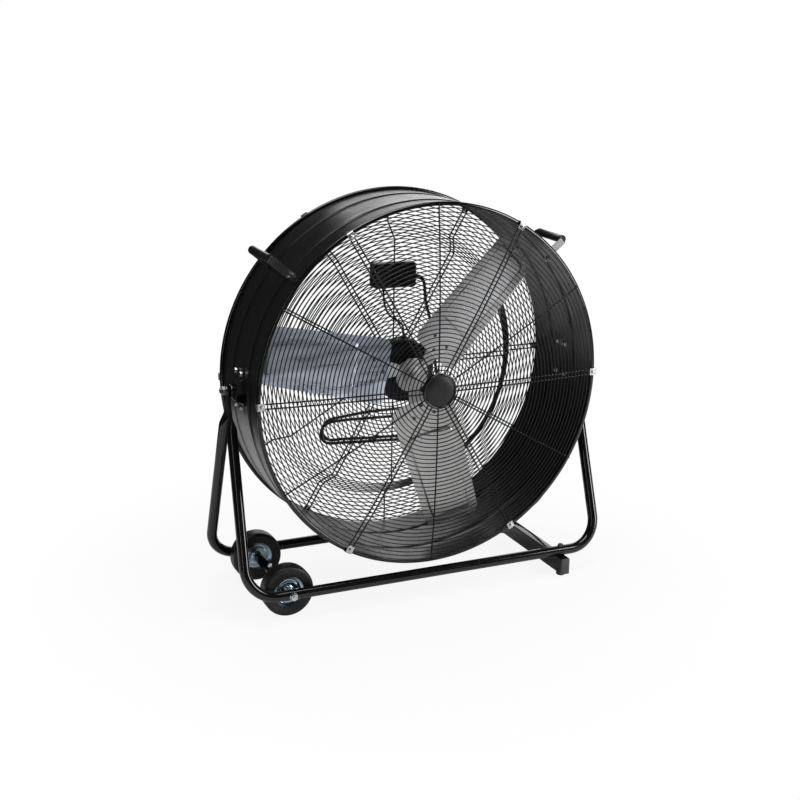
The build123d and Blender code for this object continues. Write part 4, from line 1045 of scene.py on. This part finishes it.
for angle in BLADE_ANGLES:
    for u, v in ((87, 0), (116, -28), (116, 28)):
        bow = CAMBER * ((v / ROOT_HALF) ** 2 - 0.5)
        turned_on(rivets, [(0, 2.4), (2.2, 2.1), (4.4, 1.2), (5.4, 0), (0, -0.4)],
                  blade_place(angle) @ Matrix.Translation(mm(u, v, bow + 0.9)), 16)
deliver("blade_rivets", rivets, "rotor", dull_zinc)
nose = turned([(0, -30), (6.4, -30), (7.6, -29), (8.0, -28), (8.0, -19.1), (0, -19.1)], DRUM_MIDDLE, 32, closed=False)
deliver("shaft_nose", nose, "rotor", shaft_steel)

# %% [markdown]
# The motor is a painted pot: a cylinder with a rolled rim, a coned bell behind it and four tie bolts.  The
# plate behind the bell carries the whole motor on the rear guard's spokes.

# %% Motor
pot = turned([(17.6, 22), (60, 22), (74, 22.8), (79.6, 25), (82, 29), (82, 68), (83.2, 69.4), (83.2, 72.6),
              (82, 74), (79, 74), (79, 33), (17.6, 33)], DRUM_MIDDLE, 96)
deliver("motor_pot", pot, "drum", motor_paint, ["motor_housing"])
bell = turned([(17.6, 74), (80, 74), (80, 77), (77.4, 80.4), (70, 90), (65, 99), (62, 102.5), (17.6, 102.5)],
              DRUM_MIDDLE, 96)
deliver("motor_bell", bell, "drum", motor_paint, ["motor_rear_bell"])
carrier = turned([(0, 102.5), (61, 102.5), (62, 103.2), (62, 104.8), (61, 105.5), (0, 105.5)], DRUM_MIDDLE, 72,
                 closed=False)
deliver("motor_carrier", carrier, "drum", tube_paint, ["motor_mount_plate"])
tie_bolts = bmesh.new()
for i in range(4):
    a = radians(45 + 90 * i)
    add_hex(tie_bolts, lying(44 * cos(a), 105.5 - 6.0, 563 + 44 * sin(a), 1), 10, 4.6, 3, 2.5)
deliver("carrier_bolts", tie_bolts, "drum", bright_zinc)

# %% [markdown]
# The control box hangs behind the upper part of the rear guard.  Its cover faces backwards, with four
# screws and the speed knob, and a white pointer on the knob shows how far it is turned.

# %% Control box
BOX_X, BOX_Z = 8.0, 238.0


def on_lid(x, y, z):
    """A place on the cover, from its middle, whose local Z points backwards."""
    return axes_at(from_drum(BOX_X + x, y, BOX_Z + z), X_WAY, -Z_WAY, Y_WAY)


case = bmesh.new()
cut_block(case, Matrix.Translation(from_drum(BOX_X, 131.6, BOX_Z)), (120, 41.2, 66), 7.5, segments=5)
deliver("switch_case", case, "drum", moulded_black, ["control_box"], crease=60)
lid = bmesh.new()
cut_block(lid, Matrix.Translation(from_drum(BOX_X, 153.2, BOX_Z)), (117, 3.4, 63), 1.4)
deliver("switch_lid", lid, "drum", moulded_black, ["control_box_cover"], crease=60)
lid_screws = bmesh.new()
for x in (-50, 50):
    for z in (-24, 24):
        turned_on(lid_screws, [(0, 0.6), (1.0, 0.6), (1.2, 1.4), (2.6, 1.1), (3.2, 0), (0, -0.4)],
                  on_lid(x, 154.8, z), 16)
deliver("lid_screws", lid_screws, "drum", bright_zinc)
knob = bmesh.new()
knob_place = on_lid(0, 155.1, 0)
turned_on(knob, [(0, 0), (17, 0), (17, 2.4), (15.6, 3.4), (15.0, 5), (14.0, 14), (12.8, 15), (0, 15)], knob_place, 48)
cut_block(knob, knob_place @ Matrix.Translation(mm(0, 0, 12.2)), (5.2, 27, 5.4), 1.2)
deliver("turning_knob", knob, "knob", moulded_black, ["speed_knob"], crease=40)
pointer = bmesh.new()
cut_block(pointer, knob_place @ Matrix.Translation(mm(0, -7.5, 14.9)), (1.6, 9, 0.8), 0.2)
deliver("knob_pointer", pointer, "knob", pointer_white)

# %% [markdown]
# What is left of the CAD model is shown as it is: the parts inside the motor and the box, and the hidden
# bolts and washers.  They only need their finish.

# %% Finishes of the CAD parts
node_finishes = {
    "motor_bearings": shaft_steel, "motor_stator": core_steel, "rotor_core": core_steel, "motor_shaft": shaft_steel,
    "speed_switch": moulded_black, "pivot_bolts": dull_zinc, "pivot_washers": dull_zinc,
}
for node, finish in node_finishes.items():
    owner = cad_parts[node]
    for slot in owner.material_slots:
        slot.material = finish
print("dressed CAD parts:", len(node_finishes))

# %% Finish
bpy.context.view_layer.update()
